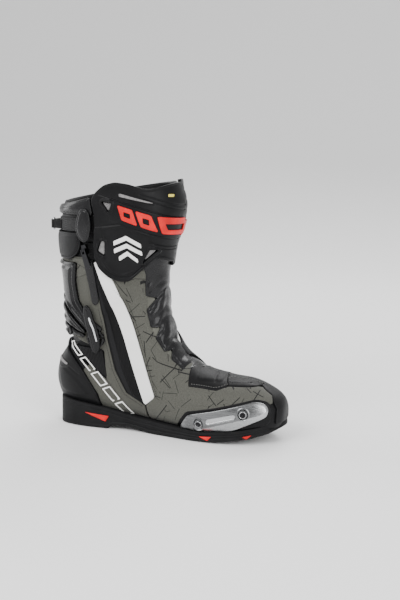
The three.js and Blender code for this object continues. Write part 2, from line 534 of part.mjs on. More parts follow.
// The ring stands at the back, its plane square to the surface normal there.
const ringSpot = onLast(-34, 267, -1);
const outward = new THREE.Vector3(ringSpot.normal.x, ringSpot.normal.y, 0).normalize();
const along = new THREE.Vector3(-outward.y, outward.x, 0);
if (along.x < 0) along.negate();
const RING_WIDTH = 9;
const RING_HEIGHT = 17;
const ringOut = STIRRUP_LAYER[1] + RING_WIRE + 1.2;
const ringCentre = ringSpot.point.clone().addScaledVector(outward, ringOut);
const up = new THREE.Vector3(0, 0, 1);
const ringBarAt = (side) => ringCentre.clone().addScaledVector(along, (side * RING_WIDTH) / 2);
const ringBars = [-1, 1].map((side) => rod(ringBarAt(side), up, RING_WIRE, -RING_HEIGHT / 2, RING_HEIGHT / 2, 10));
const ringEnds = [-1, 1].map((end) => rod(
  ringCentre.clone().addScaledVector(up, (end * (RING_HEIGHT / 2 - RING_WIRE))), along, RING_WIRE,
  -RING_WIDTH / 2, RING_WIDTH / 2, 10));
add('strap_ring', [...ringBars, ...ringEnds].reduce((a, b) => a.add(b)), SILVER, 0.25, 1);

// A loop of webbing round one bar of the ring, with a short tail down to the layer it is sewn to.
const LOOP_HALF = RING_HEIGHT / 2 - RING_WIRE * 2 - 0.8;
function barLoop(side) {
  const centre = ringBarAt(side);
  const outer = rod(centre, up, RING_WIRE + 2.2, -LOOP_HALF, LOOP_HALF, 14);
  const hole = rod(centre, up, RING_WIRE + RUN_GAP, -LOOP_HALF - 1, LOOP_HALF + 1, 14);
  return { outer, hole };
}
function tailBox(centre, direction, length) {
  const geometry = new THREE.BoxGeometry(length, 2.2, LOOP_HALF * 2);
  geometry.translate(length / 2, 0, 0);
  geometry.rotateZ(Math.atan2(direction.y, direction.x));
  geometry.translate(centre.x, centre.y, centre.z);
  return toSolid(geometry);
}
const rearLoop = barLoop(-1);
const rearTail = tailBox(ringBarAt(-1).addScaledVector(outward, -2.2),
  along.clone().negate().addScaledVector(outward, -0.62).normalize(), 13);
add('closure_flap', flap.add(rearTail.add(rearLoop.outer)).subtract(rearLoop.hole)
  .subtract(lastSolid(PANEL[1] + SEAM_GAP)), BLACK, 0.3);
const frontLoop = barLoop(1);
const frontTail = tailBox(ringBarAt(1).addScaledVector(outward, -2.2),
  along.clone().addScaledVector(outward, -0.3).normalize(), 14);
const webbing = guards.intersect(lateral([[-27, 258], [9, 259], [9, 275.5], [-27, 275.5]]));
add('webbing_strap', webbing.add(frontTail.add(frontLoop.outer)).subtract(frontLoop.hole)
  .subtract(lastSolid(PANEL[1] + SEAM_GAP)).subtract(across([[-80, 240], [60, 240], [60, 257.9], [-80, 257.9]]))
  .subtract(across([[-80, 276], [60, 276], [60, 300], [-80, 300]])), BLACK, 0.8);
add('strap_tab', layer([GUARD[1] + 1.2 + FIT_GAP, GUARD[1] + 3.2 + FIT_GAP])
  .intersect(lateral([[5, 262], [9, 279], [15, 289], [24, 287], [27, 267], [23, 250], [17, 245.5], [10, 250]])),
DARK, 0.35);

// ---------------------------------------------------------------- zip slider and pull
// The slider runs on the straight line between the two ends of the zip.
const zipTop = onLast(15, 236, -1);
const zipEnd = onLast(71, 52, -1);
const ZIP_RIDE = PANEL[1] + FIT_GAP;
const SLIDER_SIZE = { length: 13, width: 7.5, height: 3.6 };
const trackTop = zipTop.point.clone().addScaledVector(zipTop.normal, ZIP_RIDE + SLIDER_SIZE.height / 2);
const trackEnd = zipEnd.point.clone().addScaledVector(zipEnd.normal, ZIP_RIDE + 1.5 + SLIDER_SIZE.height / 2);
const trackLine = trackEnd.clone().sub(trackTop).normalize();
const trackOut = zipTop.normal.clone().addScaledVector(trackLine, -zipTop.normal.dot(trackLine)).normalize();
const trackSide = new THREE.Vector3().crossVectors(trackOut, trackLine);
const trackFrame = new THREE.Matrix4().makeBasis(trackLine, trackSide, trackOut).setPosition(trackTop);

function placed(geometry) {
  geometry.applyMatrix4(trackFrame);
  return toSolid(geometry);
}
function plateShape(outline, low, high) {
  const shape = new THREE.Shape(outline.map(([x, y]) => new THREE.Vector2(x, y)));
  const geometry = new THREE.ExtrudeGeometry(shape, { depth: high - low, bevelEnabled: false });
  geometry.translate(0, 0, low);
  return placed(geometry);
}
const { length: SL, width: SW, height: SH } = SLIDER_SIZE;
const sliderBody = plateShape([[-SL / 2, -SW / 2.6], [-SL / 4, -SW / 2], [SL / 4, -SW / 2], [SL / 2, -SW / 4],
  [SL / 2, SW / 4], [SL / 4, SW / 2], [-SL / 4, SW / 2], [-SL / 2, SW / 2.6]], -SH / 2, SH / 2);
const lug = new THREE.BoxGeometry(3.4, 2.4, 4.4);
lug.translate(0, 0, SH / 2 + 2);
const PIN_HEIGHT = SH / 2 + 2.6;
const lugPin = new THREE.CylinderGeometry(0.7, 0.7, 7, 12);
lugPin.translate(0, 0, PIN_HEIGHT);
add('zip_slider', sliderBody.add(placed(lug)).add(placed(lugPin)), SILVER, 0.3, 1);
const PULL_LENGTH = 24;
const pullHole = new THREE.CylinderGeometry(1, 1, 12, 12);
pullHole.translate(0, 0, PIN_HEIGHT);
const pullPlate = plateShape([[-1.5, -3.4], [PULL_LENGTH - 3, -4.2], [PULL_LENGTH, -2], [PULL_LENGTH, 2],
  [PULL_LENGTH - 3, 4.2], [-1.5, 3.4]], PIN_HEIGHT - 1.5, PIN_HEIGHT + 1.5);
const pullSlot = plateShape([[-6, -1.7], [4.6, -1.7], [4.6, 1.7], [-6, 1.7]], SH / 2 - 2, SH / 2 + 9);
add('zip_pull', pullPlate.subtract(pullSlot).subtract(placed(pullHole)), 0x2b2c2d, 0.4, 0.6);

export default boot;
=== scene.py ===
"""Road-racing motorcycle boot for the right foot: the sewn, moulded and metal surfaces round the fixed frame.

Lengths in this file are millimetres; a mesh is written in metres. +X points to the toe, +Z up, -Y is the
outer (lateral) side. The last is the solid foot-and-leg form: every upper piece is drawn as an offset from it.
"""

import bpy
import numpy as np
from bpy.props import FloatProperty, FloatVectorProperty, PointerProperty
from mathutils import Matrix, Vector


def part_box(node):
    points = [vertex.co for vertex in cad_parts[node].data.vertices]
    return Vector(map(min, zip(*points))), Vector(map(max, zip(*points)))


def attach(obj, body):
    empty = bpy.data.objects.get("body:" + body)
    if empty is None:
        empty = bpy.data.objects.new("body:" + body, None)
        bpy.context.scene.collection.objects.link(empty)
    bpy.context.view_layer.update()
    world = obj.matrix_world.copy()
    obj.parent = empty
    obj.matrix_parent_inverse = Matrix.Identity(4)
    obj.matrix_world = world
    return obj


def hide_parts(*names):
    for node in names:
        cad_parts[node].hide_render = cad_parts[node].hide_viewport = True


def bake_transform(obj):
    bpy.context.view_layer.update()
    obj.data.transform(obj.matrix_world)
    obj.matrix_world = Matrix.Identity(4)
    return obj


bl_info = {
    "name": "Racing Boot",
    "version": (1, 0, 0),
    "blender": (4, 5, 0),
    "location": "View3D > Sidebar > Boot",
    "description": "Makes a road-racing motorcycle boot, piece by piece, round its frame",
    "category": "Add Mesh",
}

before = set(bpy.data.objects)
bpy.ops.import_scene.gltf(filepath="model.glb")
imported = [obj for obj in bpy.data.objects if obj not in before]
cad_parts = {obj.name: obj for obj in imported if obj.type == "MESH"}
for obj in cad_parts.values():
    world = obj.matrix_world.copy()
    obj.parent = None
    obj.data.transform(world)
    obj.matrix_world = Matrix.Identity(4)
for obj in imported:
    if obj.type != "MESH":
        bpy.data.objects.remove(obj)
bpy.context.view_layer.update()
MM = 0.001


def cad_box(node):
    """Lowest and highest corner of a CAD node, in millimetres."""
    return [np.array(corner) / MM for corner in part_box(node)]


def cad_size(node):
    low, high = cad_box(node)
    return high - low


# The last and the outlines are drawn for this boot and stretched to the frame's own size.
DRAWN_SOLE = (308.0, 98.9)
SOLE_SIZE = cad_size("outsole")
KX = round(SOLE_SIZE[0] / DRAWN_SOLE[0], 2)
KY = round(SOLE_SIZE[1] / DRAWN_SOLE[1], 2)
KZ = round(cad_box("shin_plate")[1][2] / 326.0, 2)
PIN_BOX = cad_box("pivot_pin_lateral")
PIVOT = ((PIN_BOX[0] + PIN_BOX[1]) / 2)[[0, 2]]

# Heights above the last of each layer's under and upper side.
SHELL = (-4.0, 0.0)
LINING = (-7.4, -4.7)
PANEL = (0.6, 2.5)
STRIPE = (0.6, 3.0)
GUARD = (3.1, 6.5)
CUP = (0.6, 6.5)

# Stations of the last, from the toe tip along the foot, round the heel and up the leg:
# back x, back z, front x, front z, lateral half width, medial half width, front and back squareness.
STATIONS = np.array([
    (261, 30.6, 261, 31.4, 0.2, 0.2, 2.0, 2.2), (258, 18, 258, 49, 19, 17, 2.1, 2.4),
    (249, 13, 246, 60, 31, 28, 2.2, 2.8), (227, 10, 221, 70, 41, 36, 2.2, 3.2),
    (194, 9, 188, 74, 47, 42, 2.2, 3.4), (156, 10, 153, 82, 48, 43, 2.1, 3.4),
    (112, 13, 124, 102, 44, 41, 2.1, 3.2), (66, 17, 109, 130, 40, 38, 2.1, 3.0),
    (16, 20, 104, 156, 38, 36, 2.1, 2.8), (-28, 25, 102, 178, 37, 35, 2.1, 2.6),
    (-44, 50, 102, 195, 38, 36, 2.1, 2.4), (-42, 77, 103, 211, 40, 38, 2.1, 2.2),
    (-29, 102, 106, 227, 43, 41, 2.1, 2.1), (-31, 148, 110, 246, 48, 46, 2.1, 2.1),
    (-33, 195, 116, 266, 53, 51, 2.1, 2.1), (-39, 243, 121, 292, 57, 55, 2.1, 2.1),
    (-34, 291, 114, 320, 58, 56, 2.1, 2.1), (-30, 335, 108, 356, 58, 56, 2.1, 2.1)])


# ------------------------------------------------------------------ sizes and colours
class BootSizes(bpy.types.PropertyGroup):
    mesh_step: FloatProperty(name="Mesh step", description="Spacing of the sewn panels' grid, in millimetres",
                             default=1.1, min=0.5, max=4)
    fine_step: FloatProperty(name="Fine step", description="Spacing where ribs or small pieces need it",
                             default=0.7, min=0.3, max=3)
    stitch_pitch: FloatProperty(name="Stitch pitch", description="Distance between stitches, in millimetres",
                                default=3.0, min=1.5, max=8)
    thread: FloatProperty(name="Thread", description="Radius of the sewing thread, in millimetres",
                          default=0.34, min=0.1, max=1)


def colour(name, description, default):
    return FloatVectorProperty(name=name, description=description, subtype="COLOR", size=3, min=0, max=1,
                               default=default)


class BootColours(bpy.types.PropertyGroup):
    leather: colour("Leather", "Grained black leather", (0.0055, 0.0055, 0.006))
    gloss: colour("Coated leather", "Smooth glossy black leather", (0.006, 0.006, 0.0066))
    white: colour("White leather", "Coated white leather", (0.86, 0.855, 0.835))
    textile: colour("Textile", "Heathered grey textile", (0.066, 0.066, 0.056))
    crackle: colour("Crackle", "Dark lines printed on the textile", (0.005, 0.005, 0.005))
    plastic: colour("Plastic", "Moulded black plastic", (0.005, 0.005, 0.0055))
    rubber: colour("Rubber", "Sole rubber", (0.007, 0.007, 0.0075))
    red: colour("Red", "Moulded red inserts", (0.60, 0.014, 0.014))
    metal: colour("Slider metal", "Brushed aluminium", (0.62, 0.63, 0.64))
    steel: colour("Steel", "Polished steel", (0.55, 0.56, 0.57))
    vent: colour("Vent", "Perforated grey inserts", (0.20, 0.195, 0.195))
    tag: colour("Tag", "Small woven size tag", (0.78, 0.66, 0.12))


def sizes():
    return bpy.context.scene.boot_sizes


def colours():
    return bpy.context.scene.boot_colours


# ------------------------------------------------------------------ the last
def catmull_rom(a, b, c, d, f):
    """The cubic between b and c at fraction f, with slopes taken from the points on both sides."""
    return 0.5 * (2 * b + (c - a) * f + (2 * a - 5 * b + 4 * c - d) * f**2 + (3 * b - a - 3 * c + d) * f**3)


def station_at(s):
    """Uniform Catmull-Rom value through the stations, for s from 0 at the toe to 1 at the top of the leg."""
    rows = np.vstack([2 * STATIONS[0] - STATIONS[1], STATIONS, 2 * STATIONS[-1] - STATIONS[-2]])
    u = np.clip(s, 0, 1) * (len(STATIONS) - 1)
    i = np.minimum(u.astype(int), len(STATIONS) - 2)
    f = (u - i)[..., None]
    return catmull_rom(rows[i], rows[i + 1], rows[i + 2], rows[i + 3], f)


def last_point(s, turn):
    """Ring s of the last, a superellipse in polar form: r = (|cos|^n + |sin|^n)^(-1/n) times its half widths."""
    bx, bz, fx, fz, lateral_half, medial_half, n_front, n_back = np.moveaxis(station_at(s), -1, 0)
    c, w = np.cos(2 * np.pi * turn), np.sin(2 * np.pi * turn)
    n = np.where(c > 0, n_front, n_back)
    r = (np.abs(c)**n + np.abs(w)**n)**(-1 / n)
    half = np.where(w > 0, lateral_half, medial_half)
    x = (bx + fx) / 2 + r * c * (fx - bx) / 2
    z = (bz + fz) / 2 + r * c * (fz - bz) / 2
    return np.stack([x * KX, -r * w * half * KY, z * KZ], -1)


def unit(v):
    return v / np.maximum(np.linalg.norm(v, axis=-1, keepdims=True), 1e-9)


def last_normal(s, turn):
    """Outward normal of the last: the cross product of its two central differences."""
    e = 0.004
    ds = last_point(np.minimum(s + e, 1), turn) - last_point(np.maximum(s - e, 0), turn)
    dt = last_point(s, turn + e) - last_point(s, turn - e)
    return unit(np.cross(ds, dt))


def on_last(x, z, side):
    """Ring and turn of the last's points that show at side-view places (x, z), on side -1 or 1.
    The nearest point of a coarse grid is improved by Newton steps on (x, z)."""
    x, z = np.atleast_1d(x) * KX, np.atleast_1d(z) * KZ
    s, t = np.meshgrid(np.linspace(0, 1, 171), np.linspace(0.004, 0.496, 60), indexing="ij")
    t = t if side < 0 else 1 - t
    grid = last_point(s, t)
    gap = np.hypot(grid[..., 0].ravel() - x[:, None], grid[..., 2].ravel() - z[:, None])
    gap -= 0.05 * np.abs(grid[..., 1].ravel())
    best = gap.argmin(1)
    s, t = s.ravel()[best], t.ravel()[best]
    e = 1e-4
    for _ in range(6):
        p = last_point(s, t)
        js = (last_point(s + e, t) - p) / e
        jt = (last_point(s, t + e) - p) / e
        rx, rz = x - p[:, 0], z - p[:, 2]
        det = js[:, 0] * jt[:, 2] - js[:, 2] * jt[:, 0]
        det = np.where(np.abs(det) < 50, np.inf, det)
        s = np.clip(s + np.clip((rx * jt[:, 2] - rz * jt[:, 0]) / det, -0.01, 0.01), 0, 1)
        t = t + np.clip((js[:, 0] * rz - js[:, 2] * rx) / det, -0.01, 0.01)
    return s, t


# ------------------------------------------------------------------ regions of the side view
# A region is a function of x, y, z arrays that gives the signed distance to its edge, negative inside.
def rounded(points, radius, steps=4):
    """The closed outline with each corner replaced by a quadratic curve that starts radius before it."""
    p = np.array(points, float)
    before, after = np.roll(p, 1, 0) - p, np.roll(p, -1, 0) - p
    reach = [np.minimum(radius, 0.45 * np.linalg.norm(v, axis=1))[:, None] for v in (before, after)]
    start, end = p + unit(before) * reach[0], p + unit(after) * reach[1]
    f = np.linspace(0, 1, steps + 1)[None, :, None]
    curve = (1 - f)**2 * start[:, None] + 2 * f * (1 - f) * p[:, None] + f**2 * end[:, None]
    return curve.reshape(-1, 2)


def outline(points, corner=2.0):
    """Signed distance in side view to a closed outline with rounded corners, by edge and crossing tests."""
    loop = rounded(points, corner) * (KX, KZ)

    def distance(x, y, z):
        nearest = np.full(np.shape(x), np.inf)
        inside = np.zeros(np.shape(x), bool)
        for (ax, az), (bx, bz) in zip(loop, np.roll(loop, -1, 0)):
            ex, ez = bx - ax, bz - az
            length = max(ex * ex + ez * ez, 1e-12)
            f = np.clip(((x - ax) * ex + (z - az) * ez) / length, 0, 1)
            nearest = np.minimum(nearest, (x - ax - f * ex)**2 + (z - az - f * ez)**2)
            inside ^= ((az > z) != (bz > z)) & (x < ex * (z - az) / (ez if ez else 1) + ax)
        return np.where(inside, -1, 1) * np.sqrt(nearest)
    return distance


def lateral(points, corner=2.0):
    shape = outline(points, corner)
    return lambda x, y, z: np.maximum(shape(x, y, z), y)


def medial(points, corner=2.0):
    shape = outline(points, corner)
    return lambda x, y, z: np.maximum(shape(x, y, z), -y)


def both(outer, inner, corner=2.0):
    """One outline on the lateral side and another on the medial side, which meet on the centre line."""
    a, b = outline(outer, corner), outline(inner, corner)
    return lambda x, y, z: np.where(y < 0, a(x, y, z), b(x, y, z))


def disc(centre, radius):
    return lambda x, y, z: np.hypot(x - centre[0], z - centre[1]) - radius


def meet(*regions):
    return lambda x, y, z: np.maximum.reduce([r(x, y, z) for r in regions])


def join(*regions):
    return lambda x, y, z: np.minimum.reduce([r(x, y, z) for r in regions])


def without(region, *cuts):
    return meet(region, *[(lambda x, y, z, c=c: -c(x, y, z)) for c in cuts])


def grown(region, gap):
    return lambda x, y, z: region(x, y, z) - gap


def band(region, width):
    """A frame of the given width that runs along a region's edge, inside it."""
    return lambda x, y, z: np.abs(region(x, y, z) + width / 2) - width / 2


def above(line):
    """Everything above a side-view line of (x, z) points, read at each x."""
    px, pz = np.array(line, float).T
    return lambda x, y, z: np.interp(x / KX, px, pz) * KZ - z


def below(line):
    top = above(line)
    return lambda x, y, z: -top(x, y, z)


def sector(start, end):
    """The wedge at the ankle pivot between two angles, in degrees from the front through the top."""
    a, b = np.radians(start), np.radians(end)
    wide = end - start > 180

    def distance(x, y, z):
        dx, dz = x - PIVOT[0], z - PIVOT[1]
        first = dx * np.sin(a) - dz * np.cos(a)
        second = -(dx * np.sin(b) - dz * np.cos(b))
        return np.minimum(first, second) if wide else np.maximum(first, second)
    return distance


SPRING_LINE = [(-60, 36), (-46, 35), (-33, 34), (30, 27), (75, 18), (120, 14), (165, 12.4), (205, 17),
               (235, 22),
               (290, 32)]
ABOVE_SOLE = above([(x, z + 0.9) for x, z in SPRING_LINE])
RIM_LINE = [(-90, 281), (160, 325.5)]
BELOW_RIM = below(RIM_LINE)


# ------------------------------------------------------------------ meshes
def make_mesh(name, points, faces, tone=None):
    """Mesh object from millimetre points and arrays of faces; a tone value per point becomes an attribute."""
    loops = np.concatenate([f.ravel() for f in faces])
    counts = np.concatenate([np.full(len(f), f.shape[1]) for f in faces])
    used, numbers = np.unique(loops, return_inverse=True)
    mesh = bpy.data.meshes.new(name)
    mesh.vertices.add(len(used))
    mesh.vertices.foreach_set("co", (points[used] * MM).astype(np.float32).ravel())
    mesh.loops.add(len(numbers))
    mesh.loops.foreach_set("vertex_index", numbers.astype(np.int32))
    mesh.polygons.add(len(counts))
    mesh.polygons.foreach_set("loop_start", np.concatenate([[0], np.cumsum(counts)[:-1]]).astype(np.int32))
    mesh.polygons.foreach_set("use_smooth", np.ones(len(counts), bool))
    mesh.update(calc_edges=True)
    if tone is not None:
        mesh.attributes.new("tone", "FLOAT", "POINT").data.foreach_set("value", tone[used].astype(np.float32))
    piece = bpy.data.objects.new(name, mesh)
    bpy.context.scene.collection.objects.link(piece)
    return piece


def grid_faces(rows, columns, closed=False):
    """Quads of a rows by columns grid of points, with its last column joined to the first if it is closed."""
    i, j = np.meshgrid(np.arange(rows - 1), np.arange(columns if closed else columns - 1), indexing="ij")
    k = (j + 1) % columns
    return np.stack([i * columns + j, (i + 1) * columns + j, (i + 1) * columns + k, i * columns + k],
                    -1).reshape(-1, 4)


def fan(middle, first, second):
    """Triangles from one point to each pair of neighbours on a ring."""
    return np.stack([np.full(len(first), middle), first, second], 1)


ARC_STEPS = 4


def last_piece(name, region, layer, step=None, edge=0.9, relief=None, tone=None, seam="back"):
    """A closed piece that follows the last between two heights, over a region of the side view.

    A grid of ring and turn values covers the region. Grid points within half a cell of the line at depth
    edge are moved onto it along the distance's gradient, and cells inside it are kept. From that line,
    rows of points go outwards on a quarter circle and down to the lower height, and the underside repeats
    the cells. relief(x, y, z, depth) adds to the upper height, tone(x, y, z, depth) colours points."""
    low, high = layer
    step = step or sizes().mesh_step
    first = 0.0 if seam in ("front", "none") else -0.5
    s, t = np.meshgrid(np.linspace(0, 1, 181), first + np.linspace(0, 1, 121), indexing="ij")
    p = last_point(s, t)
    near = region(*np.moveaxis(p, -1, 0)) < 6
    if not near.any():
        raise ValueError(f"{name}: its region misses the last")
    rows, columns = near.any(1).nonzero()[0], near.any(0).nonzero()[0]
    i0, i1 = max(rows[0] - 1, 0), min(rows[-1] + 1, 180)
    j0, j1 = (0, 120) if seam == "none" else (max(columns[0] - 1, 0), min(columns[-1] + 1, 120))
    crop = p[i0:i1 + 1, j0:j1 + 1]
    along = np.linalg.norm(np.diff(crop, axis=0), axis=-1).sum(0).max()
    around = np.linalg.norm(np.diff(crop, axis=1), axis=-1).sum(1).max()
    ni, nj = int(along / step) + 3, int(around / step) + 3
    s0, s1 = s[i0, 0], s[i1, 0]
    t0, t1 = t[0, j0], t[0, j1]
    closed = seam == "none"
    cells = nj if closed else nj - 1

    def at(i, j):
        return np.clip(s0 + (s1 - s0) * i / (ni - 1), 0, 1), t0 + (t1 - t0) * j / cells

    def depth(i, j):
        return -region(*np.moveaxis(last_point(*at(i, j)), -1, 0))

    i, j = np.meshgrid(np.arange(ni, dtype=float), np.arange(nj, dtype=float), indexing="ij")
    d = edge - depth(i, j)
    if closed:
        gj = np.gradient(np.hstack([d[:, -1:], d, d[:, :1]]), axis=1)[:, 1:-1]
    else:
        gj = np.gradient(d, axis=1)
    gi = np.gradient(d, axis=0)
    g2 = np.maximum(gi**2 + gj**2, 1e-9)
    near = np.abs(d) <= 0.5 * np.maximum(np.abs(gi), np.abs(gj)) + 1e-6
    for _ in range(2):
        i[near] = np.clip(i[near] - np.clip(d[near] * gi[near] / g2[near], -0.5, 0.5), 0, ni - 1)
        j[near] -= np.clip(d[near] * gj[near] / g2[near], -0.5, 0.5)
        d[near] = edge - depth(i[near], j[near])
    i, j, d, near = i.ravel(), j.ravel(), d.ravel(), near.ravel()
    kept = (d <= 0) | near
    quads = grid_faces(ni, nj, closed)

    def inside(faces):
        """Faces whose points all lie on the line count only if their middle is inside."""
        unsure = near[faces].all(1)
        middle = faces[unsure]
        mj = j[middle]
        mj = np.where(mj.max(1, keepdims=True) - mj > nj / 2, mj + nj, mj) if closed else mj
        keep = np.ones(len(faces), bool)
        keep[unsure] = depth(i[middle].mean(1), mj.mean(1)) > edge
        return faces[keep]

    full = inside(quads[kept[quads].all(1)])
    three = quads[kept[quads].sum(1) == 3]
    missing = (~kept[three]).argmax(1)
    three = three[np.arange(len(three))[:, None], (missing[:, None] + [1, 2, 3]) % 4]
    three = inside(three)
    if not len(full):
        raise ValueError(f"{name}: the step is too coarse for it")
    used = np.unique(np.concatenate([full.ravel(), three.ravel()]))
    number = np.zeros(len(i), int)
    number[used] = np.arange(len(used))
    full, three = number[full], number[three]
    i, j, on_line = i[used], j[used], near[used]
    count = len(used)

    pairs = np.concatenate([np.stack([f[:, k], f[:, (k + 1) % f.shape[1]]], 1)
                            for f in (full, three) for k in range(f.shape[1])])
    keys = pairs[:, 0] * count + pairs[:, 1]
    border = pairs[~np.isin(keys, pairs[:, 1] * count + pairs[:, 0])]
    rim = np.unique(border)
    slot = np.zeros(count, int)
    slot[rim] = np.arange(len(rim))

    def heights(i, j, inset):
        s, t = at(i, j)
        p = last_point(s, t)
        x, y, z = np.moveaxis(p, -1, 0)
        raised = relief(x, y, z, inset) if relief else 0.0
        shade = tone(x, y, z, inset) if tone else np.zeros(len(x))
        return p, last_normal(s, t), high + raised, shade

    inner_depth = np.maximum(depth(i, j), edge)
    p, normal, top, shade = heights(i, j, inner_depth)
    points = [p + normal * np.reshape(np.broadcast_to(top, (count,)), (-1, 1))]
    shades = [shade]
    h = 0.3
    ri, rj = i[rim], j[rim]
    slope_i = -(depth(ri + h, rj) - depth(ri - h, rj)) / (2 * h)
    slope_j = -(depth(ri, rj + h) - depth(ri, rj - h)) / (2 * h)
    slope2 = np.maximum(slope_i**2 + slope_j**2, 1e-6)
    moving = on_line[rim]
    rim_top = np.broadcast_to(top, (count,))[rim]
    fall = min(edge, high - low)

    def outwards(amount):
        move = np.where(moving, amount, 0)
        reach = 4 * edge / step + 1
        oi = ri + np.clip(move * slope_i / slope2, -reach, reach)
        oj = rj + np.clip(move * slope_j / slope2, -reach, reach)
        rest = np.where(moving, depth(oi, oj) - (edge - amount), 0)
        limit = np.abs(move) / np.sqrt(slope2) * 0.5 + 1e-9
        oi += np.clip(rest * slope_i / slope2, -limit, limit)
        oj += np.clip(rest * slope_j / slope2, -limit, limit)
        return at(oi, oj)

    rings = [(edge * np.sin(a), fall * (1 - np.cos(a))) for a in np.linspace(0, np.pi / 2, ARC_STEPS + 1)[1:]]
    for amount, drop in rings + [(edge, None)]:
        s, t = outwards(amount)
        level = np.full(len(rim), low) if drop is None else np.maximum(rim_top - drop, low + 0.02)
        points.append(last_point(s, t) + last_normal(s, t) * level[:, None])
        shades.append(shade[rim])
    rows = len(rings) + 1
    first_of = count + np.arange(rows) * len(rim)
    under = count + rows * len(rim) + np.cumsum(~np.isin(np.arange(count), rim)) - 1
    under[rim] = first_of[-1] + slot[rim]
    inner = np.setdiff1d(np.arange(count), rim)
    points.append(p[inner] + normal[inner] * low)
    shades.append(shade[inner])

    a, b = border.T
    faces = [full, three]
    upper_a, upper_b = a, b
    for start in first_of:
        lower_a, lower_b = start + slot[a], start + slot[b]
        faces.append(np.stack([upper_b, upper_a, lower_a, lower_b], 1))
        upper_a, upper_b = lower_a, lower_b
    faces += [under[full][:, ::-1], under[three][:, ::-1]]
    faces = [f for f in faces if len(f)]
    shades = np.concatenate(shades) if tone else None
    return make_mesh(name, np.concatenate(points), faces, shades)


def swept(name, path, radius, sides=10, closed=False, flat=1.0):
    """A round bar carried along a path: circles square to the path's direction, flattened by a factor."""
    path = np.array(path, float)
    if closed:
        direction = np.roll(path, -1, 0) - np.roll(path, 1, 0)
    else:
        direction = np.gradient(path, axis=0)
    direction = unit(direction)
    helper = np.where(np.abs(direction[:, 2:]) < 0.9, (0.0, 0.0, 1.0), (1.0, 0.0, 0.0))
    across = unit(np.cross(direction, helper))
    other = np.cross(direction, across)
    a = np.linspace(0, 2 * np.pi, sides, endpoint=False)
    r = np.broadcast_to(radius, (len(path),))[:, None, None]
    ring = across[:, None] * np.cos(a)[:, None] * flat + other[:, None] * np.sin(a)[:, None]
    points = (path[:, None] + r * ring).reshape(-1, 3)
    i, j = np.meshgrid(np.arange(len(path) if closed else len(path) - 1), np.arange(sides), indexing="ij")
    k, n = (j + 1) % sides, (i + 1) % len(path)
    faces = [np.stack([i * sides + j, i * sides + k, n * sides + k, n * sides + j], -1).reshape(-1, 4)]
    if not closed:
        middles = len(points) + np.array([0, 1])
        points = np.vstack([points, path[[0, -1]]])
        j, k = np.arange(sides), (np.arange(sides) + 1) % sides
        last = (len(path) - 1) * sides
        faces.append(fan(middles[0], k, j))
        faces.append(fan(middles[1], last + j, last + k))
    return make_mesh(name, points, faces)


def turned(name, profile, origin, axis, sides=40, corners=None):
    """A profile of (radius, height) turned round an axis; rows in corners are drawn with six flat sides."""
    profile = np.array(profile, float)
    axis = unit(np.array(axis, float))
    across = unit(np.cross(axis, (0.3, 0.2, 1.0)))
    other = np.cross(axis, across)
    a = np.linspace(0, 2 * np.pi, sides, endpoint=False)
    hexagon = np.cos(np.pi / 6) / np.cos((a + np.pi / 6) % (np.pi / 3) - np.pi / 6)
    factor = np.ones((len(profile), sides))
    if corners:
        factor[corners[0]:corners[1]] = hexagon
    r, h = profile[:, :1] * factor, profile[:, 1]
    points = origin + (across * np.cos(a)[:, None] + other * np.sin(a)[:, None])[None] * r[..., None]
    points = (points + axis * h[:, None, None]).reshape(-1, 3)
    faces = [grid_faces(len(profile), sides, closed=True)]
    ends = np.array(origin) + axis * h[[0, -1], None]
    j, k = np.arange(sides), (np.arange(sides) + 1) % sides
    last = (len(profile) - 1) * sides
    faces.append(fan(len(points), j, k))
    faces.append(fan(len(points) + 1, last + k, last + j))
    return make_mesh(name, np.vstack([points, ends]), [f[:, ::-1] for f in faces])


def densified(points, spacing):
    """Points every spacing along an open line, by its running length."""
    p = np.array(points, float)
    run = np.concatenate([[0], np.cumsum(np.linalg.norm(np.diff(p, axis=0), axis=1))])
    at = np.linspace(0, run[-1], max(int(run[-1] / spacing), 1) + 1)
    return np.stack([np.interp(at, run, p[:, k]) for k in (0, 1)], 1)


def softened(points, radius=6):
    """An open line whose corners are quadratic curves."""
    curve = rounded(points, radius).reshape(len(points), -1, 2)
    return np.vstack([[points[0]], curve[1:-1].reshape(-1, 2), [points[-1]]])


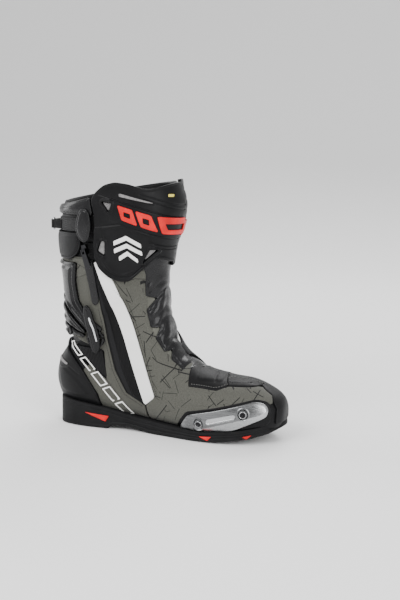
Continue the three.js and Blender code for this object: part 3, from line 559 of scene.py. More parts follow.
def stitches(name, rows):
    """Thread along rows of (side-view line, side, height): each stitch is a spindle that dips at both ends."""
    pitch, thread = sizes().stitch_pitch, sizes().thread
    centres, along, outward = [], [], []
    for line, side, height in rows:
        path = densified(softened(line), pitch)
        s, t = on_last(path[:, 0], path[:, 1], side)
        p = last_point(s, t) + last_normal(s, t) * height
        keep = np.linalg.norm(np.diff(p, axis=0), axis=1) < 2.5 * pitch
        centres.append(((p[1:] + p[:-1]) / 2)[keep])
        along.append((p[1:] - p[:-1])[keep])
        outward.append(last_normal(s, t)[1:][keep])
    centres, along, outward = [np.concatenate(v) for v in (centres, along, outward)]
    side_way = unit(np.cross(outward, along))
    stations = np.array([(-0.38, 0.3, -0.5), (-0.26, 0.85, 0.15), (0, 1.0, 0.35), (0.26, 0.85, 0.15),
                         (0.38, 0.3, -0.5)])
    a = np.linspace(0, 2 * np.pi, 6, endpoint=False)
    f, r, h = stations.T[:, None, :, None]
    spindle = (centres[:, None, None] + along[:, None, None] * f[..., None]
               + side_way[:, None, None] * (r * thread * np.cos(a))[..., None]
               + outward[:, None, None] * (h * thread + r * thread * np.sin(a))[..., None])
    one = grid_faces(len(stations), 6, closed=True)
    caps = [np.array([[0, 1, 2], [0, 2, 3], [0, 3, 4], [0, 4, 5]]),
            np.array([[2, 1, 0], [3, 2, 0], [4, 3, 0], [5, 4, 0]]) + 6 * (len(stations) - 1)]
    shift = (np.arange(len(centres)) * len(stations) * 6)[:, None, None]
    faces = [(f[None] + shift).reshape(-1, f.shape[1])[:, ::-1] for f in [one, *caps]]
    return make_mesh(name, spindle.reshape(-1, 3), faces)


# ------------------------------------------------------------------ finishes
class Finish:
    """A material of one Principled shader, with the texture nodes that feed it."""

    def __init__(self, name, base, rough, metal=0.0, specular=0.13, coat=0.0, coat_rough=0.15, sheen=0.0):
        self.material = bpy.data.materials.new(name)
        self.material.use_nodes = True
        self.nodes = self.material.node_tree.nodes
        self.links = self.material.node_tree.links
        self.shader = self.nodes["Principled BSDF"]
        values = {"Base Color": (*base, 1), "Roughness": rough, "Metallic": metal,
                  "Specular IOR Level": specular,
                  "Coat Weight": coat, "Coat Roughness": coat_rough, "Sheen Weight": sheen}
        for socket, value in values.items():
            self.shader.inputs[socket].default_value = value
        self.base = base
        self.where = self.nodes.new("ShaderNodeTexCoord").outputs["Object"]
        self.normal = None

    def node(self, kind, inputs, out=0, **settings):
        node = self.nodes.new("ShaderNode" + kind)
        for key, value in settings.items():
            setattr(node, key, value)
        for key, value in inputs.items():
            if isinstance(value, bpy.types.NodeSocket):
                self.links.new(value, node.inputs[key])
            else:
                node.inputs[key].default_value = value
        return node.outputs[out]

    def mapped(self, scale=(1, 1, 1), turn=(0, 0, 0), shift=(0, 0, 0)):
        return self.node("Mapping",
                         {"Vector": self.where, "Scale": scale, "Rotation": turn, "Location": shift})

    def noise(self, size, detail=2.0, where=None, rough=0.5):
        """Noise whose features are about size millimetres."""
        inputs = {"Vector": where or self.where, "Scale": 1 / (size * MM), "Detail": detail,
                  "Roughness": rough}
        return self.node("TexNoise", inputs)

    def cells(self, size, feature="F1", where=None, randomness=1.0):
        inputs = {"Vector": where or self.where, "Scale": 1 / (size * MM), "Randomness": randomness}
        return self.node("TexVoronoi", inputs, feature=feature)

    def waves(self, pitch, direction="X", where=None, profile="SIN", distortion=0.0):
        """Bands whose pitch is in millimetres."""
        inputs = {"Vector": where or self.where, "Scale": 0.5 / (pitch * MM),
                  "Distortion": distortion, "Detail": 0.0}
        return self.node("TexWave", inputs, out=1, wave_type="BANDS", bands_direction=direction,
                         wave_profile=profile)

    def spread(self, value, low, high, to_low=0.0, to_high=1.0):
        inputs = {"Value": value, "From Min": low, "From Max": high, "To Min": to_low, "To Max": to_high}
        return self.node("MapRange", inputs)

    def math(self, operation, a, b=0.0):
        return self.node("Math", {0: a, 1: b}, operation=operation)

    def mixed(self, factor, first, second):
        node = self.nodes.new("ShaderNodeMix")
        node.data_type = "RGBA"
        for key, value in (("Factor_Float", factor), ("A_Color", first), ("B_Color", second)):
            socket = next(s for s in node.inputs if s.identifier == key)
            if isinstance(value, bpy.types.NodeSocket):
                self.links.new(value, socket)
            elif key == "Factor_Float":
                socket.default_value = value
            else:
                socket.default_value = (*value[:3], 1)
        return next(s for s in node.outputs if s.identifier == "Result_Color")

    def paint(self, socket):
        self.links.new(socket, self.shader.inputs["Base Color"])

    def roughen(self, value, low, high):
        self.links.new(self.spread(value, 0.3, 0.7, low, high), self.shader.inputs["Roughness"])

    def bump(self, height, depth, strength=1.0):
        """Adds relief of the given depth in millimetres."""
        inputs = {"Height": height, "Strength": strength, "Distance": depth * MM}
        if self.normal:
            inputs["Normal"] = self.normal
        self.normal = self.node("Bump", inputs)
        self.links.new(self.normal, self.shader.inputs["Normal"])


def scaled(colour_value, factor):
    return tuple(min(c * factor, 1.0) for c in colour_value)


FINISHES = {}


def finish(maker):
    """Keeps each finish, so that pieces of the same stuff share one material."""
    def get():
        if maker.__name__ not in FINISHES:
            FINISHES[maker.__name__] = maker().material
        return FINISHES[maker.__name__]
    get.__name__ = maker.__name__
    return get


def leather(name, base, rough, grain=1.1, depth=0.10, creases=0.0, **shader):
    """Pebbled grain from small cells, with slow changes of tone and gloss and optional creases."""
    f = Finish(name, base, rough, **shader)
    slow = f.noise(26, 3)
    fine = f.noise(1.6, 3)
    f.paint(f.mixed(f.spread(slow, 0.35, 0.65), scaled(base, 0.82), scaled(base, 1.25)))
    f.roughen(fine, rough - 0.06, rough + 0.08)
    f.bump(f.cells(grain), depth, 0.7)
    f.bump(f.noise(0.45, 2), depth * 0.5, 0.5)
    if creases:
        f.bump(f.noise(9, 4, rough=0.6), creases, 0.6)
    return f


@finish
def grained_leather():
    return leather("grained black leather", colours().leather, 0.46, creases=0.25)


@finish
def smooth_leather():
    return leather("coated black leather", colours().gloss, 0.30, grain=0.8, depth=0.05, creases=0.5,
                   coat=0.25)


@finish
def grey_leather():
    return leather("smooth grey leather", scaled(colours().textile, 1.25), 0.5, grain=0.8, depth=0.05)


@finish
def white_leather():
    f = leather("coated white leather", colours().white, 0.34, grain=0.9, depth=0.05, coat=0.15)
    slow = f.noise(30, 3)
    f.paint(f.mixed(f.spread(slow, 0.3, 0.7), scaled(colours().white, 0.93), colours().white))
    return f


def cloth(name, rough, gloss, dark, light):
    """Two crossed bands weave grey cloth; a fine speck mixes its dark and light threads. Gives its colour too."""
    grey = colours().textile
    f = Finish(name, grey, rough, specular=0.2, sheen=0.1)
    speck = f.noise(0.55, 2)
    threads = f.mixed(f.spread(speck, 0.36, 0.64), scaled(grey, dark), scaled(grey, light))
    f.roughen(speck, *gloss)
    across = f.waves(0.9, "DIAGONAL", where=f.mapped(turn=(0, 1.57, 0)))
    f.bump(f.math("MAXIMUM", f.waves(0.9, "DIAGONAL"), across), 0.12, 0.6)
    return f, threads


@finish
def grey_textile():
    """Each cell of three Voronoi patterns draws one straight dark line on the cloth: points whose distance from
    the cell's middle, along the cell's own random direction, is under a width."""
    f, threads = cloth("grey crackle textile", 0.72, (0.66, 0.8), 0.62, 1.42)
    lines = None
    for size, width, share in ((34, 0.95, 0.22), (23, 0.75, 0.30), (15, 0.50, 0.42)):
        at = f.mapped(shift=(0.01 * width, 0.03 * width, 0.02 * width))
        cell = f.node("TexVoronoi", {"Vector": at, "Scale": 1 / (size * MM)}, 2)
        tint = f.node("TexVoronoi", {"Vector": at, "Scale": 1 / (size * MM)}, 1)
        away = f.node("VectorMath", {0: at, 1: cell}, operation="SUBTRACT")
        way = f.node("VectorMath", {0: tint, 1: (0.5, 0.5, 0.5)}, operation="SUBTRACT")
        way = f.node("VectorMath", {0: way, 1: (1.0, 0.15, 1.0)}, operation="MULTIPLY")
        way = f.node("VectorMath", {0: way}, operation="NORMALIZE")
        gap = f.math("ABSOLUTE", f.node("VectorMath", {0: away, 1: way}, 1, operation="DOT_PRODUCT"))
        line = f.spread(gap, 0.5 * width * MM, 0.8 * width * MM, 1.0, 0.0)
        drawn = f.math("GREATER_THAN", f.node("SeparateColor", {"Color": tint}, 1), share)
        line = f.math("MULTIPLY", line, drawn)
        lines = f.math("MAXIMUM", lines, line) if lines else line
    f.paint(f.mixed(lines, threads, colours().crackle))
    f.bump(lines, -0.25, 0.6)
    return f


@finish
def plain_textile():
    """The same cloth without the lines, behind the zip."""
    f, threads = cloth("grey plain textile", 0.75, (0.68, 0.82), 0.6, 1.25)
    f.paint(threads)
    return f


def moulding(name, base, rough, texture, **shader):
    """Moulded plastic or rubber: a fine skin texture and soft variation of gloss."""
    f = Finish(name, base, rough, **shader)
    slow = f.noise(18, 3)
    f.paint(f.mixed(f.spread(slow, 0.3, 0.7), scaled(base, 0.8), scaled(base, 1.25)))
    f.roughen(f.noise(5, 4), rough - 0.05, rough + 0.07)
    f.bump(f.noise(texture, 2), 0.05, 0.6)
    return f


@finish
def gloss_plastic():
    return moulding("moulded gloss plastic", colours().plastic, 0.24, 0.9, coat=0.2)


@finish
def satin_plastic():
    return moulding("moulded satin plastic", colours().plastic, 0.40, 0.5)


@finish
def sole_rubber():
    return moulding("sole rubber", colours().rubber, 0.58, 0.6)


@finish
def red_plastic():
    return moulding("red insert", colours().red, 0.36, 0.5)


@finish
def brushed_metal():
    """Noise drawn out along the slider gives the brush marks their length; tone paints light on the lower facet:
    it mixes a painted shaded and a painted lit copy of the metal.
    """
    base = colours().metal
    f = Finish("brushed aluminium", base, 0.28, metal=1.0)
    marks = f.node("TexNoise", {"Vector": f.mapped(scale=(12, 700, 700), turn=(0, -0.27, 0)), "Scale": 1.0,
                                "Detail": 3.0})
    tone = f.node("Attribute", {}, out=2, attribute_name="tone")
    # Painted shade and painted light: a darkened and a lightened copy of the metal, mixed by the tone attribute.
    dark = f.mixed(marks, scaled(base, 0.10), scaled(base, 0.32))
    light = f.mixed(marks, scaled(base, 0.62), scaled(base, 0.86))
    f.paint(f.mixed(tone, dark, light))
    f.roughen(marks, 0.2, 0.36)
    f.bump(marks, 0.03, 0.5)
    return f


@finish
def polished_steel():
    f = Finish("polished steel", colours().steel, 0.18, metal=1.0)
    f.roughen(f.noise(4, 4), 0.12, 0.26)
    f.bump(f.noise(0.5, 2), 0.01, 0.4)
    return f


@finish
def black_steel():
    f = Finish("blackened steel", (0.03, 0.03, 0.032), 0.32, metal=1.0)
    f.roughen(f.noise(3, 4), 0.26, 0.4)
    f.bump(f.noise(0.4, 2), 0.01, 0.4)
    return f


@finish
def webbing():
    base = scaled(colours().leather, 0.9)
    f = Finish("woven webbing", base, 0.7, sheen=0.1)
    ribs = f.waves(1.3, "X", where=f.mapped(turn=(0, 0, 0.4)))
    picks = f.waves(0.8, "Z")
    f.paint(f.mixed(ribs, scaled(base, 0.6), scaled(base, 1.8)))
    f.roughen(picks, 0.62, 0.78)
    f.bump(ribs, 0.3, 0.7)
    f.bump(picks, 0.12, 0.5)
    return f


@finish
def zip_fabric():
    """Ribbed band: tone 0 is black, 1 a dark grey."""
    base = scaled(colours().leather, 0.75)
    f = Finish("ribbed zip band", base, 0.6)
    tone = f.node("Attribute", {}, out=2, attribute_name="tone")
    picks = f.waves(0.9, "Z")
    dark = f.mixed(picks, scaled(base, 0.7), scaled(base, 1.2))
    grey = f.mixed(picks, scaled(base, 1.8), scaled(base, 3.2))
    f.paint(f.mixed(tone, dark, grey))
    f.roughen(picks, 0.5, 0.66)
    f.bump(picks, 0.15, 0.5)
    return f


@finish
def lining_mesh():
    f = Finish("brushed lining", (0.012, 0.012, 0.013), 0.9, sheen=0.2)
    holes = f.cells(1.9, randomness=0.15)
    f.paint(f.mixed(f.spread(holes, 0.1, 0.35), (0.005, 0.005, 0.005), (0.020, 0.020, 0.021)))
    f.roughen(f.noise(2), 0.84, 0.95)
    f.bump(f.spread(holes, 0.1, 0.35), 0.3, 0.7)
    return f


@finish
def vent_mesh():
    base = colours().vent
    f = Finish("perforated vent", base, 0.5)
    holes = f.cells(1.5, randomness=0.1)
    f.paint(f.mixed(f.spread(holes, 0.18, 0.30), scaled(base, 0.25), base))
    f.roughen(f.noise(2), 0.44, 0.58)
    f.bump(f.spread(holes, 0.18, 0.30), 0.3, 0.8)
    return f


def thread_finish(name, base):
    f = Finish(name, base, 0.6)
    twist = f.waves(0.5, "DIAGONAL")
    f.paint(f.mixed(twist, scaled(base, 0.7), scaled(base, 1.3)))
    f.roughen(twist, 0.5, 0.66)
    f.bump(twist, 0.05, 0.6)
    return f


@finish
def dark_thread():
    return thread_finish("dark thread", (0.018, 0.018, 0.019))


@finish
def light_thread():
    return thread_finish("light thread", (0.13, 0.13, 0.125))


@finish
def fibre_board():
    f = Finish("fibre board", (0.33, 0.24, 0.15), 0.8)
    fibres = f.node("TexNoise", {"Vector": f.mapped(scale=(60, 400, 400)), "Scale": 1.0, "Detail": 4.0})
    f.paint(f.mixed(fibres, (0.24, 0.17, 0.10), (0.42, 0.32, 0.21)))
    f.roughen(fibres, 0.74, 0.88)
    f.bump(fibres, 0.1, 0.6)
    return f


@finish
def tag_fabric():
    base = colours().tag
    f = Finish("size tag", base, 0.6)
    picks = f.waves(0.7, "Z")
    f.paint(f.mixed(picks, scaled(base, 0.7), base))
    f.roughen(picks, 0.55, 0.7)
    f.bump(picks, 0.1, 0.5)
    return f


# ------------------------------------------------------------------ how a piece joins the frame
SOFT = "foot and cuff"


def fit(piece, material, slot, body, *replaced):
    """Gives a piece its finish and its body; a soft piece, which spans the foot and the cuff at the ankle, only
    has its transform baked into its mesh.
    """
    piece.data.materials.append(material())
    if body == SOFT:
        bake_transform(piece)
    else:
        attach(piece, body)
    if replaced:
        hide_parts(*replaced)
    return piece


def keep_node(node, material):
    """A CAD node that stays in view takes a finish."""
    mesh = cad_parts[node].data
    mesh.materials.clear()
    mesh.materials.append(material())


# ------------------------------------------------------------------ sole
SOLE_EDGE = [(-45, 0), (-38, -26), (-22, -36), (6, -40), (44, -39), (80, -39), (120, -45), (164, -51),
             (204, -49),
             (235, -37), (255, -19), (263, 0), (257, 17), (238, 32), (207, 42), (166, 46), (120, 40),
             (80, 35),
             (44, 36), (6, 38), (-22, 34), (-38, 22)]
SOLE_UNDER = [(-50, 12), (-44, 3), (-38, 0), (33, 0), (41, 5), (62, 5), (86, 1), (92, 0), (150, 0),
              (178, 1.2),
              (202, 4), (226, 8), (246, 13), (268, 22)]
SOLE_TOP = SPRING_LINE
INSERTS = [("heel_wedge_lateral", -1, [(2, 19.5), (35.5, 17.2), (31, 9.6)]),
           ("heel_wedge_medial", 1, [(-22, 18), (6, 12), (-2, 8)]),
           ("tread_insert_lateral", -1, [(163, 7.5), (179, 8.5), (174, 3.2)])]


def closed_curve(points, steps=12):
    """Uniform Catmull-Rom curve through a closed list of points."""
    p = np.array(points, float)
    f = (np.arange(steps) / steps)[None, :, None]
    a, b, c, d = [np.roll(p, k, 0)[:, None] for k in (1, 0, -1, -2)]
    return catmull_rom(a, b, c, d, f).reshape(-1, p.shape[1])


def sole_half_width(x, side):
    """Distance from the centre line to the sole's edge on one side, at each x."""
    edge = closed_curve(SOLE_EDGE) * (KX, KY)
    toe, heel = edge[:, 0].argmax(), edge[:, 0].argmin()
    ring = np.roll(edge, -heel, 0)
    turn = (toe - heel) % len(edge)
    line = ring[:turn + 1] if side < 0 else np.vstack([ring[turn:], ring[:1]])[::-1]
    return np.interp(x, line[:, 0], np.abs(line[:, 1]))


def on_line(line, x):
    px, pz = np.array(line, float).T
    return np.interp(x / KX, px, pz) * KZ


def make_outsole():
    """Sections across the sole: flat tread with V grooves, rounded lower edge, side wall with a welt groove,
    a narrow rim, and a basin that follows the last."""
    low, high = cad_box("outsole")
    f = np.linspace(0, 1, 260)
    x = low[0] + 0.2 + (high[0] - low[0] - 0.4) * (1 - np.cos(np.pi * f)) / 2
    outer, inner = sole_half_width(x, -1), sole_half_width(x, 1)
    under, top = on_line(SOLE_UNDER, x), on_line(SOLE_TOP, x)
    edge_round = 2.5
    across = np.linspace(0, 1, 71)
    start, end = -np.maximum(outer - edge_round, 0.1), np.maximum(inner - edge_round, 0.1)
    y = start[:, None] + (end - start)[:, None] * across
    margin = np.minimum(y - start[:, None], end[:, None] - y)
    ends = np.minimum(x - low[0], high[0] - x)[:, None]
    solid = np.clip(np.minimum(margin, ends) / 2 - 2, 0, 1)
    pitch = 9.0
    phase = ((x[:, None] + 0.45 * np.abs(y)) % pitch) / pitch
    groove = np.clip(1.4 - np.abs(phase - 0.5) * 9, 0, 1)
    waist = np.clip(1 - np.abs(x[:, None] - 63) / 14, 0, 1) > 0
    tread = under[:, None] + 1.9 * groove * solid * ~waist
    rows = [np.stack([np.broadcast_to(x[:, None], y.shape), y, tread], -1)]
    span = np.maximum(top - under, 1)

    def wall(sign, half, order):
        level = np.array([0.25, 0.8, 1.0])
        corner_y = half[:, None] - edge_round * (1 - np.sin(level * np.pi / 2))
        corner_z = under[:, None] + edge_round * (1 - np.cos(level * np.pi / 2))
        up = np.linspace(0.16, 1, 26)
        z = under[:, None] + span[:, None] * up
        z = np.maximum(z, corner_z[:, -1:] + 0.05 * np.arange(26))
        welt = np.exp(-((z - top[:, None] + 4.5) / 0.8)**2)
        step = np.exp(-((z - under[:, None] - 5.2) / 0.7)**2)
        foot_step = 1 / (1 + np.exp(-(under[:, None] + 5.2 - z) / 0.5))
        side_y = half[:, None] - 0.6 * welt - 0.8 * step + 0.7 * foot_step - 0.9 * up**2
        both_y, both_z = np.hstack([corner_y + 0.7, side_y]), np.hstack([corner_z, z])
        block = np.stack([np.broadcast_to(x[:, None], both_y.shape), sign * np.maximum(both_y, 0.05), both_z],
                         -1)
        return block[:, ::order]

    def basin(sign, half, order):
        drop = 1 - (1 - np.linspace(0, 1, 9))**2
        floor = on_line([(-44, 30), (-28, 25), (16, 20), (66, 17), (112, 13), (156, 10), (194, 9), (227, 10),
                         (249, 13), (258, 18), (261, 31)], x) - 0.5
        z = top[:, None] + (np.minimum(floor, top - 0.5) - top)[:, None] * drop
        s, t = on_last(np.repeat(x, 9) / KX, z.ravel() / KZ, sign)
        wall_y = np.abs(last_point(s, t)[:, 1]).reshape(z.shape) + 0.4
        wall_y = np.minimum(wall_y, half[:, None] - 1.2)
        wall_y = np.minimum.accumulate(np.maximum(wall_y, 0.05), 1)
        block = np.stack([np.broadcast_to(x[:, None], z.shape), sign * wall_y, z], -1)
        return block[:, ::order]

    rows += [wall(1, inner, 1), basin(1, inner, 1), basin(-1, outer, -1), wall(-1, outer, -1)]
    section = np.concatenate(rows, 1)
    count = section.shape[1]
    points = np.vstack([section.reshape(-1, 3), section[[0, -1]].mean(1)])
    j, k = np.arange(count), (np.arange(count) + 1) % count
    last = (len(x) - 1) * count
    faces = [grid_faces(len(x), count, closed=True), fan(len(points) - 2, j, k),
             fan(len(points) - 1, last + k, last + j)]
    return make_mesh("outsole_rubber", points, faces)


def side_block(name, shape, side, proud, depth):
    """A prism with a side-view outline: its outer face follows the sole's edge, its inner face lies behind."""
    loop = rounded(shape, 1.0, 3) * (KX, KZ)
    half = sole_half_width(loop[:, 0], side)
    outer = np.stack([loop[:, 0], side * (half + proud), loop[:, 1]], 1)
    inner = np.stack([loop[:, 0], side * (half - depth), loop[:, 1]], 1)
    middle = loop.mean(0)
    small = np.stack([middle[0] + (loop[:, 0] - middle[0]) * 0.82, side * (half + proud + 0.5),
                      middle[1] + (loop[:, 1] - middle[1]) * 0.82], 1)
    count = len(loop)
    points = np.vstack([small.mean(0), small, outer, inner, inner.mean(0)])
    j, k = np.arange(count), (np.arange(count) + 1) % count
    faces = [fan(0, 1 + j, 1 + k)]
    faces += [np.stack([1 + r * count + j, 1 + (r + 1) * count + j, 1 + (r + 1) * count + k,
                        1 + r * count + k], 1)
              for r in (0, 1)]
    faces.append(fan(len(points) - 1, 1 + 2 * count + k, 1 + 2 * count + j))
    area = 0.5 * np.sum(loop[:, 0] * np.roll(loop[:, 1], -1) - np.roll(loop[:, 0], -1) * loop[:, 1])
    if area * side > 0:
        faces = [f[:, ::-1] for f in faces]
    return make_mesh(name, points, faces)


FRONT_INSERT = [(217, 11), (228, 13), (222, 8)]
INSERT_PROUD, INSERT_DEPTH = 0.9, 2.4


def make_sole():
    fit(make_outsole(), sole_rubber, "sole_rubber", "foot", "outsole")
    for node, side, shape in INSERTS:
        fit(side_block(f"{node}_block", shape, side, INSERT_PROUD, INSERT_DEPTH), red_plastic, "red_insert",
            "foot",
            node)
    fit(side_block("tread_insert_front_block", FRONT_INSERT, -1, INSERT_PROUD, INSERT_DEPTH), red_plastic,
        "red_insert", "foot")


# ------------------------------------------------------------------ outlines of the upper
SLIDER = [(134, 16.5), (148.5, 35), (183, 43), (214, 50), (229, 53), (239.5, 51), (245, 45), (243, 36.5),
          (207, 21),
          (167, 15)]
SLIDER_BASE = [(128, 15.5), (145, 38), (183, 46), (214, 53), (230, 56.5), (243.5, 53.5), (250, 45),
               (247.5, 28),
               (207, 18), (167, 14)]
SCREWS = [(163, 26), (217, 40)]
VAMP_EDGE = [(139, 95), (146, 67), (181, 63.5), (194, 67.5)]
FRONT_EDGE = [(82, 224), (85, 205), (83, 192), (83, 177), (94.5, 173.5), (84, 159), (90.5, 136.5),
              (100.5, 136.5),
              (97, 123), (109, 106), (115.5, 107.5), (118, 96.5), (134, 84)]
LEAVES = [[(83, 177), (83, 192), (90, 214), (100, 205), (103, 190), (94.5, 173.5)],
          [(84, 159), (90.5, 136.5), (99, 139), (103, 150), (101.5, 187), (96, 176)],
          [(97, 123), (109, 106), (113, 112), (112, 121), (105, 150), (100, 137)],
          [(118, 96.5), (134, 84), (138, 90), (126, 104), (112, 121), (114, 108)]]
LEAF_RIDGES = [[(84, 184), (93, 197), (106, 212)], [(86, 147), (96, 160), (103, 186)],
               [(102, 115), (107, 128), (108, 147)], [(125, 90), (121, 101), (114, 116)]]
STRIPE_FRONT = [(34, 240), (48, 196), (54, 179), (102, 50)]
STRIPE_REAR = [(87, 37.5), (31, 196), (19, 244)]
BAND_REAR = [(88, 37), (61, 51), (45, 80), (35, 118), (29, 160), (24, 200), (13, 246)]
WHITE_TOP = [(12, 203), (34, 200), (40, 188), (63, 164), (97, 139), (143, 81)]
GUARD_ARC = [(52, 147), (74, 146), (98, 131), (122, 106), (140, 84), (153, 60), (153, 5)]
PLATE_LATERAL = [(26, 298), (32, 308), (43, 317), (56, 320.5), (72, 318), (88, 312), (97, 311.5), (108, 316),
                 (116, 319.5), (150, 321), (150, 215), (107, 217), (101, 226), (95, 227), (81, 212),
                 (67, 198),
                 (55, 198), (43, 203), (32, 214), (27, 228), (28, 249), (30, 267), (30, 280)]
PLATE_MEDIAL = [(90, 322), (110, 321), (101, 289), (100, 248), (100, 218), (104, 214), (150, 214), (150, 340)]
VENTS = [("shin_vent_upper", [(40, 297), (53, 295), (49, 284)]),
         ("shin_vent_rear", [(32, 236), (37, 249), (42, 249), (41, 230)]),
         ("shin_vent_front", [(82, 221), (91, 239), (98, 238)])]


def bar_top(x):
    return 293 - (x - 62) * 0.345


def bar_foot(x):
    return 275 - (x - 62) * 0.4


def soft_step(value, low, high):
    f = np.clip((value - low) / (high - low), 0, 1)
    return f * f * (3 - 2 * f)


def ribs(phase, pitch, sharp=0.5):
    """Rounded ribs with narrow valleys: |sin|^sharp of the phase, 0 in a valley and 1 on a rib."""
    return np.abs(np.sin(np.pi * phase / pitch))**sharp


def bell(value, middle, width):
    """1 where value is middle, falling off on both sides as exp(-((value - middle) / width)^2)."""
    return np.exp(-((value - middle) / width)**2)


def line_depth(x, z, points, width):
    """How close side-view places are to an open line: 1 on it, 0 beyond its half width."""
    nearest = np.full(np.shape(x), np.inf)
    for (ax, az), (bx, bz) in zip(points, points[1:]):
        ex, ez = bx - ax, bz - az
        f = np.clip(((x / KX - ax) * ex + (z / KZ - az) * ez) / (ex * ex + ez * ez), 0, 1)
        nearest = np.minimum(nearest, np.hypot(x / KX - ax - f * ex, z / KZ - az - f * ez))
    return np.clip(1 - (nearest / (width / 2))**2, 0, 1)


# ------------------------------------------------------------------ foot
def make_shells():
    """The lasted leather under the panels: foot, shaft, folded instep and the gusset behind the ankle."""
    ear = disc(PIVOT, 16)
    foot = join(sector(182, 357), ear)
    cuff = without(meet(sector(25, 134), BELOW_RIM), grown(ear, 0.8))
    front = without(meet(sector(-3, 25), lambda x, y, z: 60 - x), grown(ear, 0.8))
    back = without(sector(134, 182), grown(ear, 0.8))
    fit(last_piece("foot_leather", foot, SHELL, 2.2, seam="none"), grained_leather, "leather_black", SOFT,
        "foot_upper")
    fit(last_piece("shaft_leather", cuff, SHELL, 2.2, seam="none"), grained_leather, "leather_black", SOFT,
        "shaft_shell")
    fit(last_piece("instep_fold_leather", front, SHELL, 1.6), smooth_leather, "leather_gloss", SOFT,
        "instep_bellows")
    pleats = lambda x, y, z, d: 1.2 * (ribs(z, 9.0) - 1)
    fit(last_piece("achilles_gusset_leather", back, (-4, 1.2), 1.2, relief=pleats, seam="front"),
        white_leather,
        "leather_white", SOFT, "achilles_gusset")


def make_lining():
    below_roll = below([(-90, 283.5), (160, 328)])
    inside = without(meet(sector(-35, 215), below_roll, lambda x, y, z: 92 - z), disc(PIVOT, 20))
    fit(last_piece("padded_lining", inside, LINING, 2.0, seam="none"), lining_mesh, "foam_fabric", SOFT,
        "shaft_lining")
    around, leg_length = 240, 900
    t = np.linspace(0, 1, around, endpoint=False)
    s = np.full(around, 0.9)
    for _ in range(8):
        p = last_point(s, t)
        error = on_line(RIM_LINE, p[:, 0]) - p[:, 2]
        s = np.clip(s + error / leg_length, 0.75, 0.999)
    roll = last_point(s, t) + last_normal(s, t) * -3.6
    piece = swept("collar_roll", roll + (0, 0, 1.2), 3.1, 12, closed=True)
    fit(piece, grained_leather, "leather_black", "cuff")


def make_insole():
    keep_node("insole_board", fibre_board)
    keep_node("footbed", lining_mesh)


def make_toe():
    seam = 184.5
    vamp = both([(120, 104), (134, 88), *VAMP_EDGE, (seam, 77), (seam, 150)],
                [(130, 95), (143, 80), (155, 61), (155, 5), (seam, 5), (seam, 150), (150, 95)])
    toe = both([(seam, 150), (seam, 77), (194, 67.5), (231, 67), (246, 57.5), (254, 44), (252, 5), (320, 5),
                (320, 150)],
               [(seam, 150), (seam, 5), (320, 5), (320, 150)])

    def vamp_relief(x, y, z, d):
        overlay = outline([(150, 98), (153, 72), (186, 70), (186, 110)], 4)
        fold = line_depth(x, z, [(166, 110), (168, 84), (176, 72)], 3.0)
        wrinkle = 0.35 * np.sin(x / 3.1 + y / 9) * soft_step(x, 120, 138) * (1 - soft_step(x, 150, 165))
        return 0.9 * soft_step(-overlay(x, y, z), 0, 2.5) - 0.8 * fold + wrinkle * soft_step(d, 0, 4)

    def toe_relief(x, y, z, d):
        crown = np.exp(-((x - 214) / 16)**2 - (y / 26)**2)
        seam_groove = line_depth(x, z, [(190, 72), (212, 71), (236, 66)], 1.6) * (y < 0)
        return 0.7 * crown - 0.6 * seam_groove

    fit(last_piece("vamp_leather", meet(vamp, ABOVE_SOLE), PANEL, relief=vamp_relief), grained_leather,
        "leather_black", SOFT, "vamp_panel")
    fit(last_piece("toe_cap_leather", meet(toe, ABOVE_SOLE), (0.6, 2.9), relief=toe_relief), grained_leather,
        "leather_black", "foot", "toe_cap")


def make_outer_quarter():
    """Grey textile from the shin plate down to the sole, and the plainer cloth behind the zip."""
    front = lateral([(30, 244), *STRIPE_FRONT[1:], (89, 38), (92, 5), (128, 5), (136, 20), (150, 34),
                     (183, 42),
                     (214, 49), (230, 52.5), (242, 50), (249, 50.5), (246.5, 57.5), (231, 66.8),
                     *VAMP_EDGE[::-1],
                     *FRONT_EDGE[::-1], (78, 244)], 1.5)
    rear = lateral([(-60, 226), (10, 226), *BAND_REAR[::-1][1:-1], (87, 38), (89, 5), (76, 5), (67, 27),
                    (33, 66),
                    (30, 104), (-10, 118), (-60, 118)])
    seam_line = [(92, 50), (106, 57), (143, 62)]
    seamed = lambda x, y, z, d: 0.25 * soft_step(d, 0, 3) - 0.3 * line_depth(x, z, seam_line, 1.0)
    fit(last_piece("crackle_textile", meet(front, ABOVE_SOLE), PANEL, relief=seamed), grey_textile,
        "textile_grey",
        SOFT, "quarter_panel_lateral", "shin_panel_lateral")
    fit(last_piece("rear_textile", meet(rear, ABOVE_SOLE), (0.6, 2.3)), plain_textile, "textile_grey", SOFT,
        "quarter_panel_rear", "calf_panel_lateral")
    patch = lateral([(-60, 224), (12, 224), (14, 206), (2, 200), (-60, 204)])
    fit(last_piece("upper_crackle_patch", patch, (2.5, 3.1), 0.9, edge=0.4), grey_textile, "textile_grey",
        "cuff")


